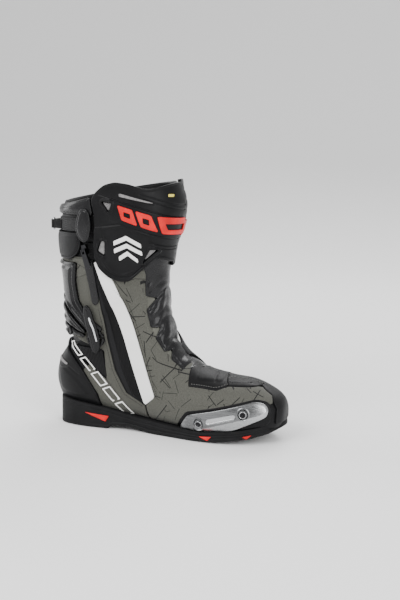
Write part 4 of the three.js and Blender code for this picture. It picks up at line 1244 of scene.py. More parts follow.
def make_zip():
    stripe = lateral([(36, 222), *STRIPE_FRONT[1:], *STRIPE_REAR[:2], (23.5, 222)], 4)
    zip_band = lateral([(34, 244), (36, 223), (23.5, 223), *STRIPE_REAR[::-1][1:], *BAND_REAR], 1.5)

    def band_place(x, z):
        """0 at the band's rear border, 1 at the white stripe."""
        rear = np.interp(z / KZ, *np.array(BAND_REAR, float).T[::-1])
        front = np.interp(z / KZ, *np.array(STRIPE_REAR, float).T[::-1])
        return (x / KX - rear) / np.maximum(front - rear, 1)

    def band_relief(x, y, z, d):
        place = band_place(x, z)
        cords = 0.5 * ribs(place * 22, 2.2, 0.8) * soft_step(d, 0, 1.5)
        flap = 1.1 * soft_step(place, 0.44, 0.5)
        return cords + flap

    def band_tone(x, y, z, d):
        place = band_place(x, z)
        return soft_step(place, 0.10, 0.16) * (1 - soft_step(place, 0.36, 0.44))

    domed = lambda x, y, z, d: 0.3 * soft_step(d, 0, 4)
    fit(last_piece("white_stripe", meet(stripe, ABOVE_SOLE), STRIPE, relief=domed), white_leather,
        "leather_white", SOFT, "zip_stripe_upper", "zip_stripe_lower")
    fit(last_piece("zip_band", meet(zip_band, ABOVE_SOLE), (0.4, 1.9), sizes().fine_step, relief=band_relief,
                   tone=band_tone), zip_fabric, "zip_tape", SOFT, "zip_tape_upper", "zip_tape_lower")
    cover = lateral([(12, 228), (22.5, 222), (27.5, 175), (27.5, 168), (22, 164), (18, 168), (15.5, 190),
                     (11, 214)], 4)
    fit(last_piece("zip_cover_strip", cover, (2.5, 4.3), 0.8, edge=1.4), smooth_leather, "leather_black",
        "cuff",
        "zip_guard_strip")
    keep_node("zip_slider", black_steel)
    keep_node("zip_pull", black_steel)


def make_front():
    """Coated leather over the shin and instep; below it, pointed folds overlap in front of the ankle."""
    front = both([(82, 250), *FRONT_EDGE, (140, 84), (170, 90), (170, 250)],
                 [(60, 250), (97, 250), (97, 139), (143, 81), (170, 81), (170, 250)], 1.2)
    leaves = [outline(leaf, 3) for leaf in LEAVES]

    def folds(x, y, z, d):
        raised = 0
        for leaf, ridge in zip(leaves, LEAF_RIDGES):
            inside = soft_step(-leaf(x, y, z), -0.6, 3.2)
            raised = np.maximum(raised, inside * (1.5 + 1.3 * line_depth(x, z, ridge, 9)))
        low = soft_step(z, 206, 188)
        wrinkle = 0.45 * np.sin((z - 0.5 * x) / 2.6 + y / 9) + 0.3 * np.sin((z + 0.9 * x) / 4.1)
        upper = 0.35 * np.sin(z / 9 + y / 8) + 0.2 * np.sin(x / 4 - z / 13)
        return (low * (raised - 0.8 + wrinkle * (1 - raised / 4)) + (1 - low) * upper) * soft_step(d, 0, 2)

    fit(last_piece("front_leather", front, (1.4, 3.2), 0.9, relief=folds), smooth_leather, "leather_gloss",
        SOFT,
        "front_panel")
    insets = {"upper": [(84, 175.8), (93, 173), (85, 161.5)],
              "middle": [(91.5, 135.6), (99.5, 135.4), (97, 124.5)],
              "lower": [(110.5, 105.8), (114.6, 106.4), (117, 98.5)]}
    for name, corners in insets.items():
        fit(last_piece(f"fold_inset_{name}", lateral(corners, 0.8), (2.4, 3.3), 0.5, edge=0.4), grey_leather,
            "textile_grey", SOFT)


def make_heel():
    strap = lateral([(-29, 114), (-18, 110), (2, 88), (33, 66), (67, 27), (76, 5), (28, 5), (19, 46),
                     (0, 76)], 1.5)
    black_end = above([(-32, 49), (48, 119)])
    fit(last_piece("heel_strap", meet(without(strap, black_end), ABOVE_SOLE), (0.6, 3.2), 0.9), plain_textile,
        "textile_grey", "foot", "heel_strap_lateral")
    fit(last_piece("heel_strap_end", meet(strap, black_end), (0.6, 3.2), 0.9), satin_plastic, "plastic_matte",
        "foot")
    pad = lateral([(-16, 109), (28, 106), (34, 68), (2, 90)], 1.5)
    pleats = lambda x, y, z, d: 0.7 * (ribs(x - 0.4 * z, 4.6, 0.7) - 1) * soft_step(d, 0.5, 2.5)
    fit(last_piece("ankle_pad", pad, (0.6, 3.4), sizes().fine_step, relief=pleats), grained_leather,
        "leather_black", "foot", "ankle_pad_lateral")
    cup = both([(-70, 5), (28, 5), (19, 46), (0, 76), (-29, 113), (-70, 96)],
               [(-70, 5), (58, 5), (56, 40), (44, 88), (20, 100), (-10, 104), (-70, 96)], 4)
    inlay = medial([(-24, 82), (-6, 91), (19, 93), (37, 75), (31, 56), (-14, 46), (-27, 58)], 4)

    def cup_relief(x, y, z, d):
        moulded = outline([(-40, 86), (-8, 66), (10, 44), (-2, 40), (-36, 44)], 8)(x, y, z)
        hollow = -1.4 * soft_step(-inlay(x, y, z), -2.5, 0.5)
        ridge = 0.7 * bell(inlay(x, y, z), 4, 1.6)
        sweep = -0.7 * line_depth(x, z, [(-38, 74), (-20, 79), (-6, 70)], 2.2) * (y < 0)
        return hollow + ridge + sweep + 0.8 * soft_step(-moulded, 0, 5) * (y < 0)

    region = meet(cup, ABOVE_SOLE, sector(187, 357))
    fit(last_piece("heel_counter", region, CUP, 1.0, edge=1.8, relief=cup_relief, seam="front"),
        satin_plastic,
        "plastic_black", "foot", "heel_cup")
    grooves = lambda x, y, z, d: 0.9 * (ribs(x * 0.72 + z * 0.7, 6.5, 0.45) - 1) * soft_step(d, 0.5, 2)
    fit(last_piece("heel_inlay", grown(inlay, -0.8), (5.3, 6.9), sizes().fine_step, relief=grooves),
        grained_leather,
        "plastic_matte", "foot", "heel_inlay_medial")
    streak = lateral([(-36, 84), (-33, 88), (-20, 83), (-22, 80.5)], 1.2)
    fit(last_piece("heel_streak", streak, (6.6, 7.6), 0.5, edge=0.5), vent_mesh, "vent_grey", "foot")


def make_strap_marks():
    """Open slanted frames and bars in a row along the heel strap: a plain pattern in place of lettering."""
    start, end = np.array([-9.5, 103.5]), np.array([55.5, 29.5])
    run = unit(end - start)
    rise = np.array([-run[1], run[0]])
    rise = rise if rise[1] > 0 else -rise
    length = np.linalg.norm(end - start)
    count = 5
    pitch = length / (count - 1)
    shapes = []
    for n in range(count):
        half = np.interp(n, [0, 2, 4], [3.6, 5.6, 6.4])
        middle = start + run * pitch * n
        long_half = pitch * 0.43
        lean = 0.35 * half
        corners = [middle + run * (a * long_half + b * lean) + rise * b * half
                   for a, b in ((-1, -1), (1, -1), (1, 1), (-1, 1))]
        frame_region = band(lateral(corners, 0.8), 1.7)
        if n % 2:
            gap = lateral([middle + run * (0.2 * long_half) - rise * half * 0.45,
                           middle + run * (3 * long_half) - rise * half * 0.45,
                           middle + run * (3 * long_half) + rise * half * 0.45,
                           middle + run * (0.2 * long_half) + rise * half * 0.45], 0.3)
            frame_region = without(frame_region, gap)
        shapes.append(frame_region)
    marks = meet(join(*shapes), ABOVE_SOLE)
    fit(last_piece("strap_marks", marks, (3.0, 3.7), 0.42, edge=0.18), white_leather, "leather_white", "foot")


def make_ankle_guard():
    guard = medial([(60, 5), (57, 40), (46, 88), (46, 100), (57, 120), *GUARD_ARC], 4)
    counter = medial([(22, 122), (45, 122), (57, 120), (46, 100), (46, 88), (57, 40), (44, 88), (24, 100),
                      (-6, 104)], 3)

    def relief(x, y, z, d):
        field = soft_step(d, 4, 8)
        curve = z + 0.10 * (x - 60) + 0.0012 * (x - 60)**2
        return 0.9 * (ribs(curve, 7.2, 0.4) - 1) * field - 0.5 * bell(d, 3.2, 0.6)

    fit(last_piece("ankle_guard", meet(guard, ABOVE_SOLE, sector(182, 365)), (3.1, 5.6), sizes().fine_step,
                   edge=1.4, relief=relief), grained_leather, "leather_black", SOFT, "ankle_guard_medial")
    fit(last_piece("counter_leather", counter, PANEL, relief=lambda x, y, z, d: 0.4 * soft_step(d, 0, 3)),
        grained_leather, "leather_black", SOFT)


def make_inner_panels():
    """Ribbed black leather in chevrons, and the white quilted leather below it down to the instep."""
    chevron = medial([(12, 340), (100, 340), (100, 132), (97, 139), *WHITE_TOP[1:4][::-1], (12, 203)], 1.5)
    white = medial([(-60, 228), (12, 228), *WHITE_TOP, (140, 84), (122, 106), (98, 131), (74, 146), (52, 147),
                    (34, 132), (20, 118), (-60, 118)], 1.5)
    rows = 11

    def chevrons(x, y, z, d):
        apex = np.interp(z, [190, 300], [46, 66])
        right = np.interp(z, [200, 300], [0.95, 0.5])
        left = np.interp(z, [200, 300], [0.02, 0.22])
        level = z + np.maximum(x - apex, 0) * right + np.maximum(apex - x, 0) * left
        ribbed = 1 - bell(level, 255, 7)
        pitch = 9.5
        groove = 1 - ribs(level, pitch, 0.35)
        return (0.9 - 2.0 * groove) * ribbed * soft_step(d, 0.5, 2.5)

    def quilting(x, y, z, d):
        angle = z + 0.13 * x
        return 2.7 * (ribs(angle, 122 / rows, 0.6) - 0.55) * soft_step(d, 0, 3)

    fit(last_piece("chevron_leather", meet(chevron, BELOW_RIM), (0.6, 3.0), sizes().fine_step,
                   relief=chevrons),
        grained_leather, "leather_black", SOFT, "chevron_panel")
    fit(last_piece("quilted_leather", white, (0.6, 2.7), 0.9, relief=quilting), white_leather,
                  "leather_white", SOFT, "quilted_panel_medial")


# ------------------------------------------------------------------ ankle mechanism
def make_brace():
    """The calf brace: one band behind the leg whose two arms run down to the ankle pins."""
    under = without(outline([(-90, 60), (90, 60), (90, 300), (-90, 300)], 0), sector(136, 270))
    outer = [(-80, 219), (0, 219), (-4, 195), (-1, 170), (12, 150), (30, 134), (20, 120), (-80, 90)]
    inner = [(-80, 219), (0, 219), (0, 205), (20, 174), (32, 150), (32, 132), (20, 120), (-80, 90)]
    brace = join(meet(both(outer, inner, 3), under), disc(PIVOT, 12))

    def relief(x, y, z, d):
        outer_rib = 1.5 * bell(d, 3.0, 1.5)
        groove = -0.9 * bell(d, 6.2, 0.9)
        middle = 1.0 * soft_step(d, 8, 10) * (z > PIVOT[1] + 14)
        return (outer_rib + groove + middle) * soft_step(np.hypot(x - PIVOT[0], z - PIVOT[1]), 12, 18)

    hole = disc(PIVOT, 7.9)
    fit(last_piece("calf_brace_shell", without(brace, hole), GUARD, 0.8, edge=1.3, relief=relief,
                   seam="front"),
        gloss_plastic, "plastic_black", "cuff", "calf_brace")


def make_stirrups():
    """Two plates behind the ankle that fan out between the brace and the heel as it flexes."""
    middle_clear = disc(PIVOT, 12.8)
    window = outline([(-90, 60), (17.5, 60), (17.5, 240), (-90, 240)], 0)
    for place, (start, end) in {"upper": (139.5, 156), "lower": (160.5, 177)}.items():
        def relief(x, y, z, d):
            return 1.2 * bell(d, 2.6, 1.4) - 0.8 * soft_step(d, 4.2, 5.4) - 0.4
        plate = without(meet(sector(start, end), window), middle_clear)
        fit(last_piece(f"stirrup_{place}", plate, (4.2, 8.6), 0.8, edge=1.6, relief=relief, seam="front"),
            gloss_plastic, "plastic_black", f"stirrup_{place}", f"achilles_stirrup_{place}")
    low, high = cad_box("stirrup_cap_lateral")
    middle = (low + high) / 2
    s, t = on_last(middle[0] / KX, middle[2] / KZ, -1)
    origin = last_point(s, t)[0] + last_normal(s, t)[0] * 8.4
    profile = [(5.6, 0), (5.6, 1.2), (5.2, 1.8), (4.2, 2.0), (3.8, 1.6), (1.5, 1.5), (0.2, 1.5)]
    fit(turned("stirrup_cap", profile, origin, last_normal(s, t)[0]), satin_plastic, "plastic_matte",
        "stirrup_lower", "stirrup_cap_lateral")


def make_pivots():
    keep_node("pivot_pin_lateral", polished_steel)
    keep_node("pivot_pin_medial", polished_steel)
    px, pz = PIVOT
    outer = lateral([(px - 11, pz + 44), (px - 6, pz + 46), (px - 2, pz + 40), (px + 7, pz + 2),
                     (px + 7, pz - 14),
                     (px + 2, pz - 19), (px - 4, pz - 15), (px - 8, pz + 6), (px - 12, pz + 32)], 4)
    inner = medial([(px - 11, pz + 4), (px - 4, pz + 21), (px + 11, pz + 28), (px + 16, pz + 14),
                    (px + 20, pz + 2),
                    (px, pz - 10), (px - 9, pz - 5)], 3)
    ridge = lambda x, y, z, d: 1.0 * soft_step(d, 0, 4) - 0.7 * bell(d, 3.4, 0.6)
    fit(last_piece("pivot_cover_outer", outer, (7.1, 9.7), 0.5, edge=1.2, relief=ridge), gloss_plastic,
        "plastic_black", "cuff", "pivot_cover_lateral")
    facets = lambda x, y, z, d: 1.6 * soft_step(d, 0, 9) - 0.5 * line_depth(x, z, [(24, 146), (24, 120)], 1.2)
    fit(last_piece("pivot_cover_inner", inner, (7.1, 9.0), 0.5, edge=1.2, relief=facets), black_steel,
        "steel_bright", "cuff", "pivot_cover_medial")
    # A polished steel strip stands in for the highlight along the glossy outer cover: a painted highlight made as
    # a part.
    glint = lateral([(px - 5, pz + 30), (px - 2.5, pz + 30), (px + 4.5, pz - 2), (px + 2.5, pz - 2)], 1.0)
    fit(last_piece("pivot_highlight_strip_outer", glint, (10.3, 10.9), 0.4, edge=0.3), polished_steel, "steel_bright",
        "cuff")
    bar = medial([(-35, 181), (-29, 186), (-2, 158), (-7, 152)], 1.5)
    fit(last_piece("brace_bar", bar, (7.6, 9.2), 0.5, edge=0.8), polished_steel, "steel_bright", "cuff",
        "brace_bar_medial")


# ------------------------------------------------------------------ shin plate
def make_shin_plate():
    plate = both(PLATE_LATERAL, PLATE_MEDIAL, 4)
    windows = [lateral(shape, 2) for _, shape in VENTS]
    cut = without(meet(plate, below([(-90, 290), (20, 312), (70, 324), (115, 322), (160, 322)])), *windows)
    field = [(40, 262), (62, 266), (90, 256), (94, 244), (84, 226), (72, 212), (58, 207), (46, 214),
             (38, 228),
             (43, 246)]

    def relief(x, y, z, d):
        outer = y < 0
        rim = 0.9 * bell(d, 1.8, 1.1)
        channel = -1.0 * line_depth(x, z, [(29, 266), (40, 267), (62, 270), (116, 249), (140, 244)], 2.2)
        upper = -1.0 * line_depth(x, z, [(36, 306), (62, 297), (118, 277), (140, 272)], 2.0)
        recess = outline(field, 4)(x, y, z)
        mark_field = -0.9 * soft_step(-recess, -0.8, 0.8)
        lip = 0.6 * bell(recess, 2.2, 1.0)
        steps = -0.9 * line_depth(x, z, [(92, 247), (122, 236), (150, 232)], 1.6)
        steps -= 0.8 * line_depth(x, z, [(100, 239), (150, 226)], 1.4)
        vee = -0.8 * line_depth(x, z, [(34, 220), (46, 209), (57, 203), (70, 205), (82, 217)], 1.8)
        around = sum(0.9 * bell(w(x, y, z), 2.0, 1.2) for w in windows)
        slash = 1.3 * line_depth(x, z, [(62, 305), (97, 294)], 3.4)
        ridges = -0.9 * (line_depth(x, z, [(84, 305), (122, 291)], 1.6)
                         + line_depth(x, z, [(88, 299), (124, 285)], 1.6))
        band_top = 0.8 * soft_step(bar_top(x) + 4 - z, 0, 2) * (1 - soft_step(bar_foot(x) - 4 - z, 0, 2))
        inner = -0.8 * (1 - ribs(z, 11, 0.4)) * (y > 0) * soft_step(d, 3, 6)
        lateral_only = channel + upper + mark_field + lip + steps + vee + around + slash + ridges
        return rim + lateral_only * outer + band_top * (x > 50) + inner

    fit(last_piece("shin_plate_shell", cut, GUARD, sizes().fine_step, edge=1.5, relief=relief), satin_plastic,
        "plastic_black", "cuff", "shin_plate")
    for (node, _), window in zip(VENTS, windows):
        fit(last_piece(f"{node}_mesh", grown(window, -0.4), (3.1, 5.0), 0.6, edge=0.5), vent_mesh,
            "vent_grey",
            "cuff", node)
    for place, (start, end) in {"rear": (62, 79), "middle": (82, 98)}.items():
        lean = 2.5
        shape = lateral([(start + lean, bar_foot(start)), (end + lean, bar_foot(end)),
                         (end - lean, bar_top(end)),
                         (start - lean, bar_top(start))], 2)
        slot = lateral([(start + 5, bar_foot(start + 5) + 6.5), (end - 5, bar_foot(end - 5) + 6.5),
                        (end - 5, bar_top(end - 5) - 6.5), (start + 5, bar_top(start + 5) - 6.5)], 1)
        fit(last_piece(f"red_bar_{place}", without(shape, slot), (7.5, 8.9), 0.45, edge=0.6), red_plastic,
            "red_insert", "cuff", f"shin_bar_{place}")
    front = both([(103, bar_foot(103)), (150, bar_foot(118)), (150, bar_top(118)), (101, bar_top(101))],
                 [(113, bar_foot(118)), (150, bar_foot(118)), (150, bar_top(118)), (112, bar_top(118))], 1.5)
    hollow = both([(108, bar_foot(108) + 6.5), (150, bar_foot(118) + 6.5), (150, bar_top(118) - 6.5),
                   (107, bar_top(107) - 6.5)],
                  [(118, bar_foot(118) + 6.5), (150, bar_foot(118) + 6.5), (150, bar_top(118) - 6.5),
                   (118, bar_top(118) - 6.5)], 1)
    fit(last_piece("red_bar_front", without(front, hollow), (7.5, 8.9), 0.5, edge=0.6), red_plastic,
        "red_insert",
        "cuff", "shin_bar_front")


def make_shin_marks():
    """Three white chevrons, one above the other, in the plate's recessed field, and a woven size tag."""
    rows = []
    for drop, wide in ((0, 15), (9.5, 15), (19, 10)):
        top, x = 256 - drop, 68
        rows.append(lateral([(x - wide, top - 7), (x, top), (x + wide, top - 10), (x + wide, top - 15.5),
                             (x, top - 5.5), (x - wide, top - 12.5)], 0.8))
    fit(last_piece("shin_chevrons", join(*rows), (5.4, 6.2), 0.45, edge=0.25), white_leather, "leather_white",
        "cuff")
    slash = lateral([(61, 306.5), (64, 306.5), (97, 295), (97, 293.6), (62, 303)], 0.5)
    fit(last_piece("shin_slash", slash, (7.2, 8.6), 0.4, edge=0.5), vent_mesh, "vent_grey", "cuff")
    tag = lateral([(110.2, 304.2), (114.4, 303.8), (114.6, 300.6), (110.4, 301)], 0.5)
    fit(last_piece("size_tag", tag, (6.4, 7.2), 0.35, edge=0.2), tag_fabric, "red_insert", "cuff")


# ------------------------------------------------------------------ collar, closure and strap
def make_collar():
    pad = lateral([(-80, 278), (-80, 320), (24, 320), (24, 298), (27.5, 279)], 3)
    pad = meet(pad, below([(-90, 286), (-45, 287.5), (0, 296), (20, 301), (30, 306)]))

    def puffed(x, y, z, d):
        return 1.2 * soft_step(d, 0, 8) - 0.5 * bell(d, 2.4, 0.5)

    piece = last_piece("collar_pad", pad, (3.1, 6.2), 0.9, edge=2.2, relief=puffed)
    fit(piece, smooth_leather, "leather_gloss", "cuff", "collar_pad_lateral")
    shield = lateral([(-80, 256), (8, 257), (8, 240), (2, 230), (-10, 222), (-80, 222)], 3)
    fit(last_piece("rear_shield_panel", shield, (3.1, 5.6), 0.9, edge=1.2,
                   relief=lambda x, y, z, d: 0.6 * soft_step(d, 2, 6) - 0.4 * bell(d, 3, 0.5)),
        grained_leather, "leather_black", "cuff", "rear_shield")
    under = lateral([(-80, 257), (30, 258), (30, 279), (-80, 279)], 1)
    fit(last_piece("strap_seat", under, PANEL, 1.4), grained_leather, "leather_black", "cuff")


def ring_frame():
    """Centres of the ring's two upright bars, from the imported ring."""
    low, high = cad_box("strap_ring")
    wire = 1.3
    rear = np.array([low[0] + wire, high[1] - wire])
    front = np.array([high[0] - wire, low[1] + wire])
    return rear, front, low[2], high[2], wire


# The ring of the last, at its back, where the flap's loop is sewn on.
LOOP_RING = 0.865


def make_closure():
    """The padded flap over the inner and rear of the collar, with its loop round the ring."""
    flap = both([(-80, 258), (-34, 258), (-34, 276), (-80, 276)],
                [(-80, 223), (10, 226), (12, 340), (-80, 340)], 3)

    def puffed(x, y, z, d):
        crown = 1.5 * soft_step(d, 0, 14)
        seams = line_depth(x, z, [(2, 220), (4, 310)], 1.4) + line_depth(x, z, [(-2.5, 220), (-0.5, 310)],
                                                                         1.4)
        return crown * (y > 0) - 0.7 * seams * (y > 0) - 0.4 * bell(d, 2.5, 0.5)

    lid = meet(flap, below([(-90, 284), (160, 328.5)]))
    fit(last_piece("closure_flap_leather", lid, (3.1, 6.6), 0.9, edge=2.2, relief=puffed,
                             seam="front"),
                  smooth_leather, "leather_gloss", "closure_flap", "closure_flap")
    rear, front, low, high, wire = ring_frame()
    a = np.linspace(0, 2 * np.pi, 48, endpoint=False)
    middle, half = (rear + front) / 2, (front - rear) / 2
    level, tall = (low + high) / 2, (high - low) / 2 - wire
    c, w = np.cos(a), np.sin(a)
    r = (np.abs(c)**6 + np.abs(w)**6)**(-1 / 6)
    path = np.stack([middle[0] + half[0] * r * c, middle[1] + half[1] * r * c, level + tall * r * w], 1)
    fit(swept("strap_ring_wire", path, wire, 14, closed=True), polished_steel, "steel_bright", "ring",
        "strap_ring")
    for name, bar_at, x_end, body, stuff, slot in (
            ("flap_loop", rear, -37, "closure_flap", smooth_leather, "leather_gloss"),
            ("strap_loop", front, -22, "strap", webbing, "webbing")):
        s, t = on_last([x_end], [level / KZ], -1)
        target = (last_point(s, t) + last_normal(s, t) * 5.2)[0]
        if body == "closure_flap":
            s, t = np.full(1, LOOP_RING), np.full(1, 0.5)
            target = (last_point(s, t) + last_normal(s, t) * 5.5)[0]
        fit(loop_round(name, bar_at, target, level, tall - 1.7, wire), stuff, slot, body)


def loop_round(name, bar_at, target, level, tall, wire):
    """Flat webbing that goes from a target point round an upright bar and back: an outline in plan, extruded."""
    toward = unit(target[:2] - bar_at)
    start = np.arctan2(toward[1], toward[0])
    a = start + np.linspace(0.5, 2 * np.pi - 0.5, 24)
    circle = np.stack([np.cos(a), np.sin(a)], 1)
    outer = bar_at + circle * (wire + 2.1)
    inner = bar_at + circle * (wire + 0.45)
    reach = np.linalg.norm(target[:2] - bar_at)
    square = np.array([-toward[1], toward[0]])
    tail = [bar_at + toward * reach + square * k * 1.5 for k in (-1, 1)]
    neck = bar_at + toward * (wire + 1.4)
    ring = np.vstack([outer, tail[0], tail[1]])
    hole = np.vstack([inner, neck, neck])
    count = len(ring)
    top, foot = level + tall, level - tall
    layers = [np.column_stack([loop, np.full(count, z)]) for loop, z in
              ((ring, foot), (ring, top), (hole, top), (hole, foot))]
    j, k = np.arange(count), (np.arange(count) + 1) % count
    faces = [np.stack([r * count + j, r * count + k, (r + 1) % 4 * count + k, (r + 1) % 4 * count + j], 1)
             for r in range(4)]
    return make_mesh(name, np.vstack(layers), faces)


def make_strap():
    band_region = lateral([(-24, 258.3), (9, 259), (9, 275.2), (-24, 275)], 1)
    weave = lambda x, y, z, d: 0.35 * ribs(z, 2.6, 0.8) - 0.5 * bell(d, 1.8, 0.4)
    fit(last_piece("strap_webbing", band_region, (3.3, 5.4), 0.6, edge=0.7, relief=weave), webbing, "webbing",
        "strap", "webbing_strap")
    tab = lateral([(5, 262), (9, 279), (14.5, 288.5), (24, 286.5), (27, 267), (23, 250), (17, 245.5),
                   (10, 250)], 6)
    crown = lambda x, y, z, d: 0.8 * soft_step(d, 0, 7) - 0.45 * bell(d, 2.2, 0.5)
    fit(last_piece("strap_tab_leather", tab, (8.3, 10.3), 0.6, edge=1.2, relief=crown), smooth_leather,
        "leather_black", "strap", "strap_tab")


# ------------------------------------------------------------------ toe slider
def make_slider():
    base = lateral(SLIDER_BASE, 5)
    slider = lateral(SLIDER, 6)
    fit(last_piece("slider_base", meet(base, ABOVE_SOLE), (0.6, 3.4), 0.8, edge=1.6), satin_plastic,
        "plastic_matte", "foot", "toe_slider_base")
    ridge_line = [(136, 18), (160, 20), (205, 31), (236, 40), (250, 47)]
    slot_line = [(175.5, 29.6), (205.5, 36.8)]
    holes = [disc((x * KX, z * KZ), 5.2) for x, z in SCREWS]

    def relief(x, y, z, d):
        over = z / KZ - np.interp(x / KX, *np.array(ridge_line, float).T)
        facet = np.where(over > 0, 1.5 - 0.11 * over, 1.5 + 0.22 * over)
        slot = line_depth(x, z, slot_line, 6.4)
        seat = sum(soft_step(-h(x, y, z), -1.2, 0.4) for h in holes)
        lip = sum(bell(h(x, y, z), 1.4, 0.8) for h in holes)
        return facet * soft_step(d, 0, 3) - 1.8 * soft_step(slot, 0, 0.5) - 1.9 * seat + 0.5 * lip

    # Painted light on the slider: the lower facet and the slot are painted lit, the upper facet painted dark,
    # with painted highlights towards its ends.
    def shine(x, y, z, d):
        over = z / KZ - np.interp(x / KX, *np.array(ridge_line, float).T)
        end = 0.75 * soft_step(x / KX, 226, 243) + 0.45 * soft_step(x / KX, 150, 138)
        top = np.clip(0.10 + end, 0, 1)
        slot = soft_step(line_depth(x, z, slot_line, 6.4), 0, 0.5)
        return np.maximum(np.where(over > 0, top, 0.85), slot)

    plate = meet(slider, ABOVE_SOLE)
    fit(last_piece("toe_slider_plate", plate, (4.0, 6.6), 0.5, edge=1.6, relief=relief, tone=shine),
        brushed_metal,
        "slider_metal", "foot", "toe_slider")
    for node, (x, z) in zip(("slider_screw_rear", "slider_screw_front"), SCREWS):
        s, t = on_last(x, z, -1)
        origin, normal = last_point(s, t)[0], last_normal(s, t)[0]
        washer = [(4.35, 5.2), (4.5, 7.2), (4.3, 7.7), (3.9, 7.7), (3.7, 7.3), (3.7, 5.4), (0.2, 5.4)]
        fit(turned(f"{node}_washer", washer, origin, normal), polished_steel, "steel_bright", "foot")
        head = [(3.5, 5.6), (3.5, 7.6), (3.1, 8.1), (2.1, 8.1), (1.95, 7.9), (1.9, 6.3), (0.1, 6.1)]
        fit(turned(f"{node}_head", head, origin, normal, 48, corners=(4, 6)), black_steel, "steel_black",
            "foot",
            node)


# ------------------------------------------------------------------ stitching
def make_stitching():
    vamp_line = [(141, 92), (148, 69.5), (181, 65.8), (193, 69.6), (231, 68.8)]
    soft_rows = [
        ([(40, 196), (56, 176), (103, 50)], -1, 2.9), ([(106, 51), (60, 175)], -1, 2.9),
        ([(84, 36), (58, 49), (42, 79), (32, 118), (26, 160)], -1, 2.5),
        ([(99, 137), (66, 162), (43, 186)], 1, 3.4), ([(14, 200), (33, 197), (38, 186)], 1, 3.3),
        ([(97, 141), (97, 200)], 1, 3.4),
        ([(61, 12), (59.5, 40), (49, 88), (59, 118), (55, 145), (73, 143.5), (96, 129), (120, 105), (138, 84),
          (150, 60), (150, 12)], 1, 5.4)]
    fit(stitches("stitching_upper", soft_rows), dark_thread, "steel_black", SOFT)
    foot_rows = [
        ([(182.5, 76), (182.5, 100)], -1, 2.6), ([(188, 78), (190, 70.5), (232, 69.4)], -1, 3.1),
        ([(157, 14), (157, 60), (150, 74)], 1, 2.6), ([(182, 14), (182, 62)], 1, 2.6),
        ([(186.6, 14), (186.6, 62)], 1, 3.0),
        ([(29, 112), (52, 90)], 1, 2.8)]
    fit(stitches("stitching_foot", foot_rows), dark_thread, "steel_black", "foot")
    toe_rows = [([(191, 73), (212, 72.4), (234, 68)], -1, 3.4), (vamp_line[1:], -1, 2.6)]
    fit(stitches("stitching_toe", toe_rows), light_thread, "vent_grey", "foot")
    cuff_rows = [([(-30, 281), (20, 281)], -1, 7.2), ([(-28, 284), (0, 290)], -1, 7.2),
                 ([(-30, 225), (-11, 225), (1, 233), (5, 241), (5, 254)], -1, 5.8),
                 ([(-24, 206), (10, 206)], 1, 3.2)]
    fit(stitches("stitching_cuff", cuff_rows), dark_thread, "steel_black", "cuff")
    flap_rows = [([(1.2, 228), (3.2, 299)], 1, 7.4), ([(-3.2, 228), (-1.2, 298)], 1, 7.6),
                 ([(-28, 227), (8, 229)], 1, 6.8)]
    fit(stitches("stitching_flap", flap_rows), dark_thread, "steel_black", "closure_flap")
    tab_rows = [([(8, 264), (11.5, 278), (15, 285), (22, 284), (24.5, 267), (21, 252), (16.5, 248.5)], -1,
                 10.1)]
    fit(stitches("stitching_tab", tab_rows), dark_thread, "steel_black", "strap")


# ------------------------------------------------------------------ studio
LENS = 53.5
CAMERA_DISTANCE = 1150.0
CAMERA_TURN, CAMERA_RISE = 20.0, 10.0
AIM = np.array([105.0, 0.0, 160.0])
SHIFT = (0.052, 0.011)


def area_light(name, place, aim, size, power):
    light = bpy.data.lights.new(name, "AREA")
    light.shape = "RECTANGLE"
    light.size, light.size_y = size
    light.energy = power
    lamp = bpy.data.objects.new(name, light)
    lamp.location = place
    lamp.rotation_euler = (Vector(aim) - Vector(place)).to_track_quat("-Z", "Y").to_euler()
    bpy.context.scene.collection.objects.link(lamp)


def make_floor():
    """A pale floor that curves up into a backdrop far behind the boot."""
    rows, columns, half = 40, 9, 3000
    run = np.linspace(0, 1, rows)
    bend = np.clip((run - 0.62) / 0.38, 0, 1)
    y = -3500 + 8000 * run
    z = -0.4 + 2600 * bend**2.2
    x = np.linspace(-half, half, columns)
    points = np.stack(np.broadcast_arrays(x, y[:, None], z[:, None]), -1)
    floor = make_mesh("studio_floor", points.reshape(-1, 3), [grid_faces(rows, columns)[:, ::-1]])
    f = Finish("studio floor", (0.93, 0.93, 0.93), 0.7, specular=0.2)
    floor.data.materials.append(f.material)


def make_studio():
    make_floor()
    area_light("key", (-0.7, -1.5, 1.6), (0.1, 0, 0.15), (1.4, 1.2), 38)
    area_light("front", (1.5, -1.1, 0.9), (0.1, 0, 0.15), (0.9, 1.4), 22)
    area_light("rim", (0.3, 1.5, 1.5), (0.1, 0, 0.2), (1.6, 0.8), 26)
    area_light("left", (-1.5, 0.1, 0.6), (0, 0, 0.15), (0.6, 1.4), 12)
    world = bpy.data.worlds.new("studio light")
    world.use_nodes = True
    world.node_tree.nodes["Background"].inputs["Color"].default_value = (1, 1, 1, 1)
    world.node_tree.nodes["Background"].inputs["Strength"].default_value = 0.9
    bpy.context.scene.world = world
    turn, rise = np.radians([CAMERA_TURN, CAMERA_RISE])
    back = np.array([np.sin(turn) * np.cos(rise), -np.cos(turn) * np.cos(rise), np.sin(rise)])
    place = (AIM + back * CAMERA_DISTANCE) * MM
    lens = bpy.data.cameras.new("camera")
    lens.lens = LENS
    lens.shift_x, lens.shift_y = SHIFT
    camera = bpy.data.objects.new("camera", lens)
    camera.location = place
    camera.rotation_euler = (Vector(AIM * MM) - Vector(place)).to_track_quat("-Z", "Y").to_euler()
    bpy.context.scene.collection.objects.link(camera)
    bpy.context.scene.camera = camera


# ------------------------------------------------------------------ operators and panel
class BootOperator:
    bl_options = {"REGISTER", "UNDO"}


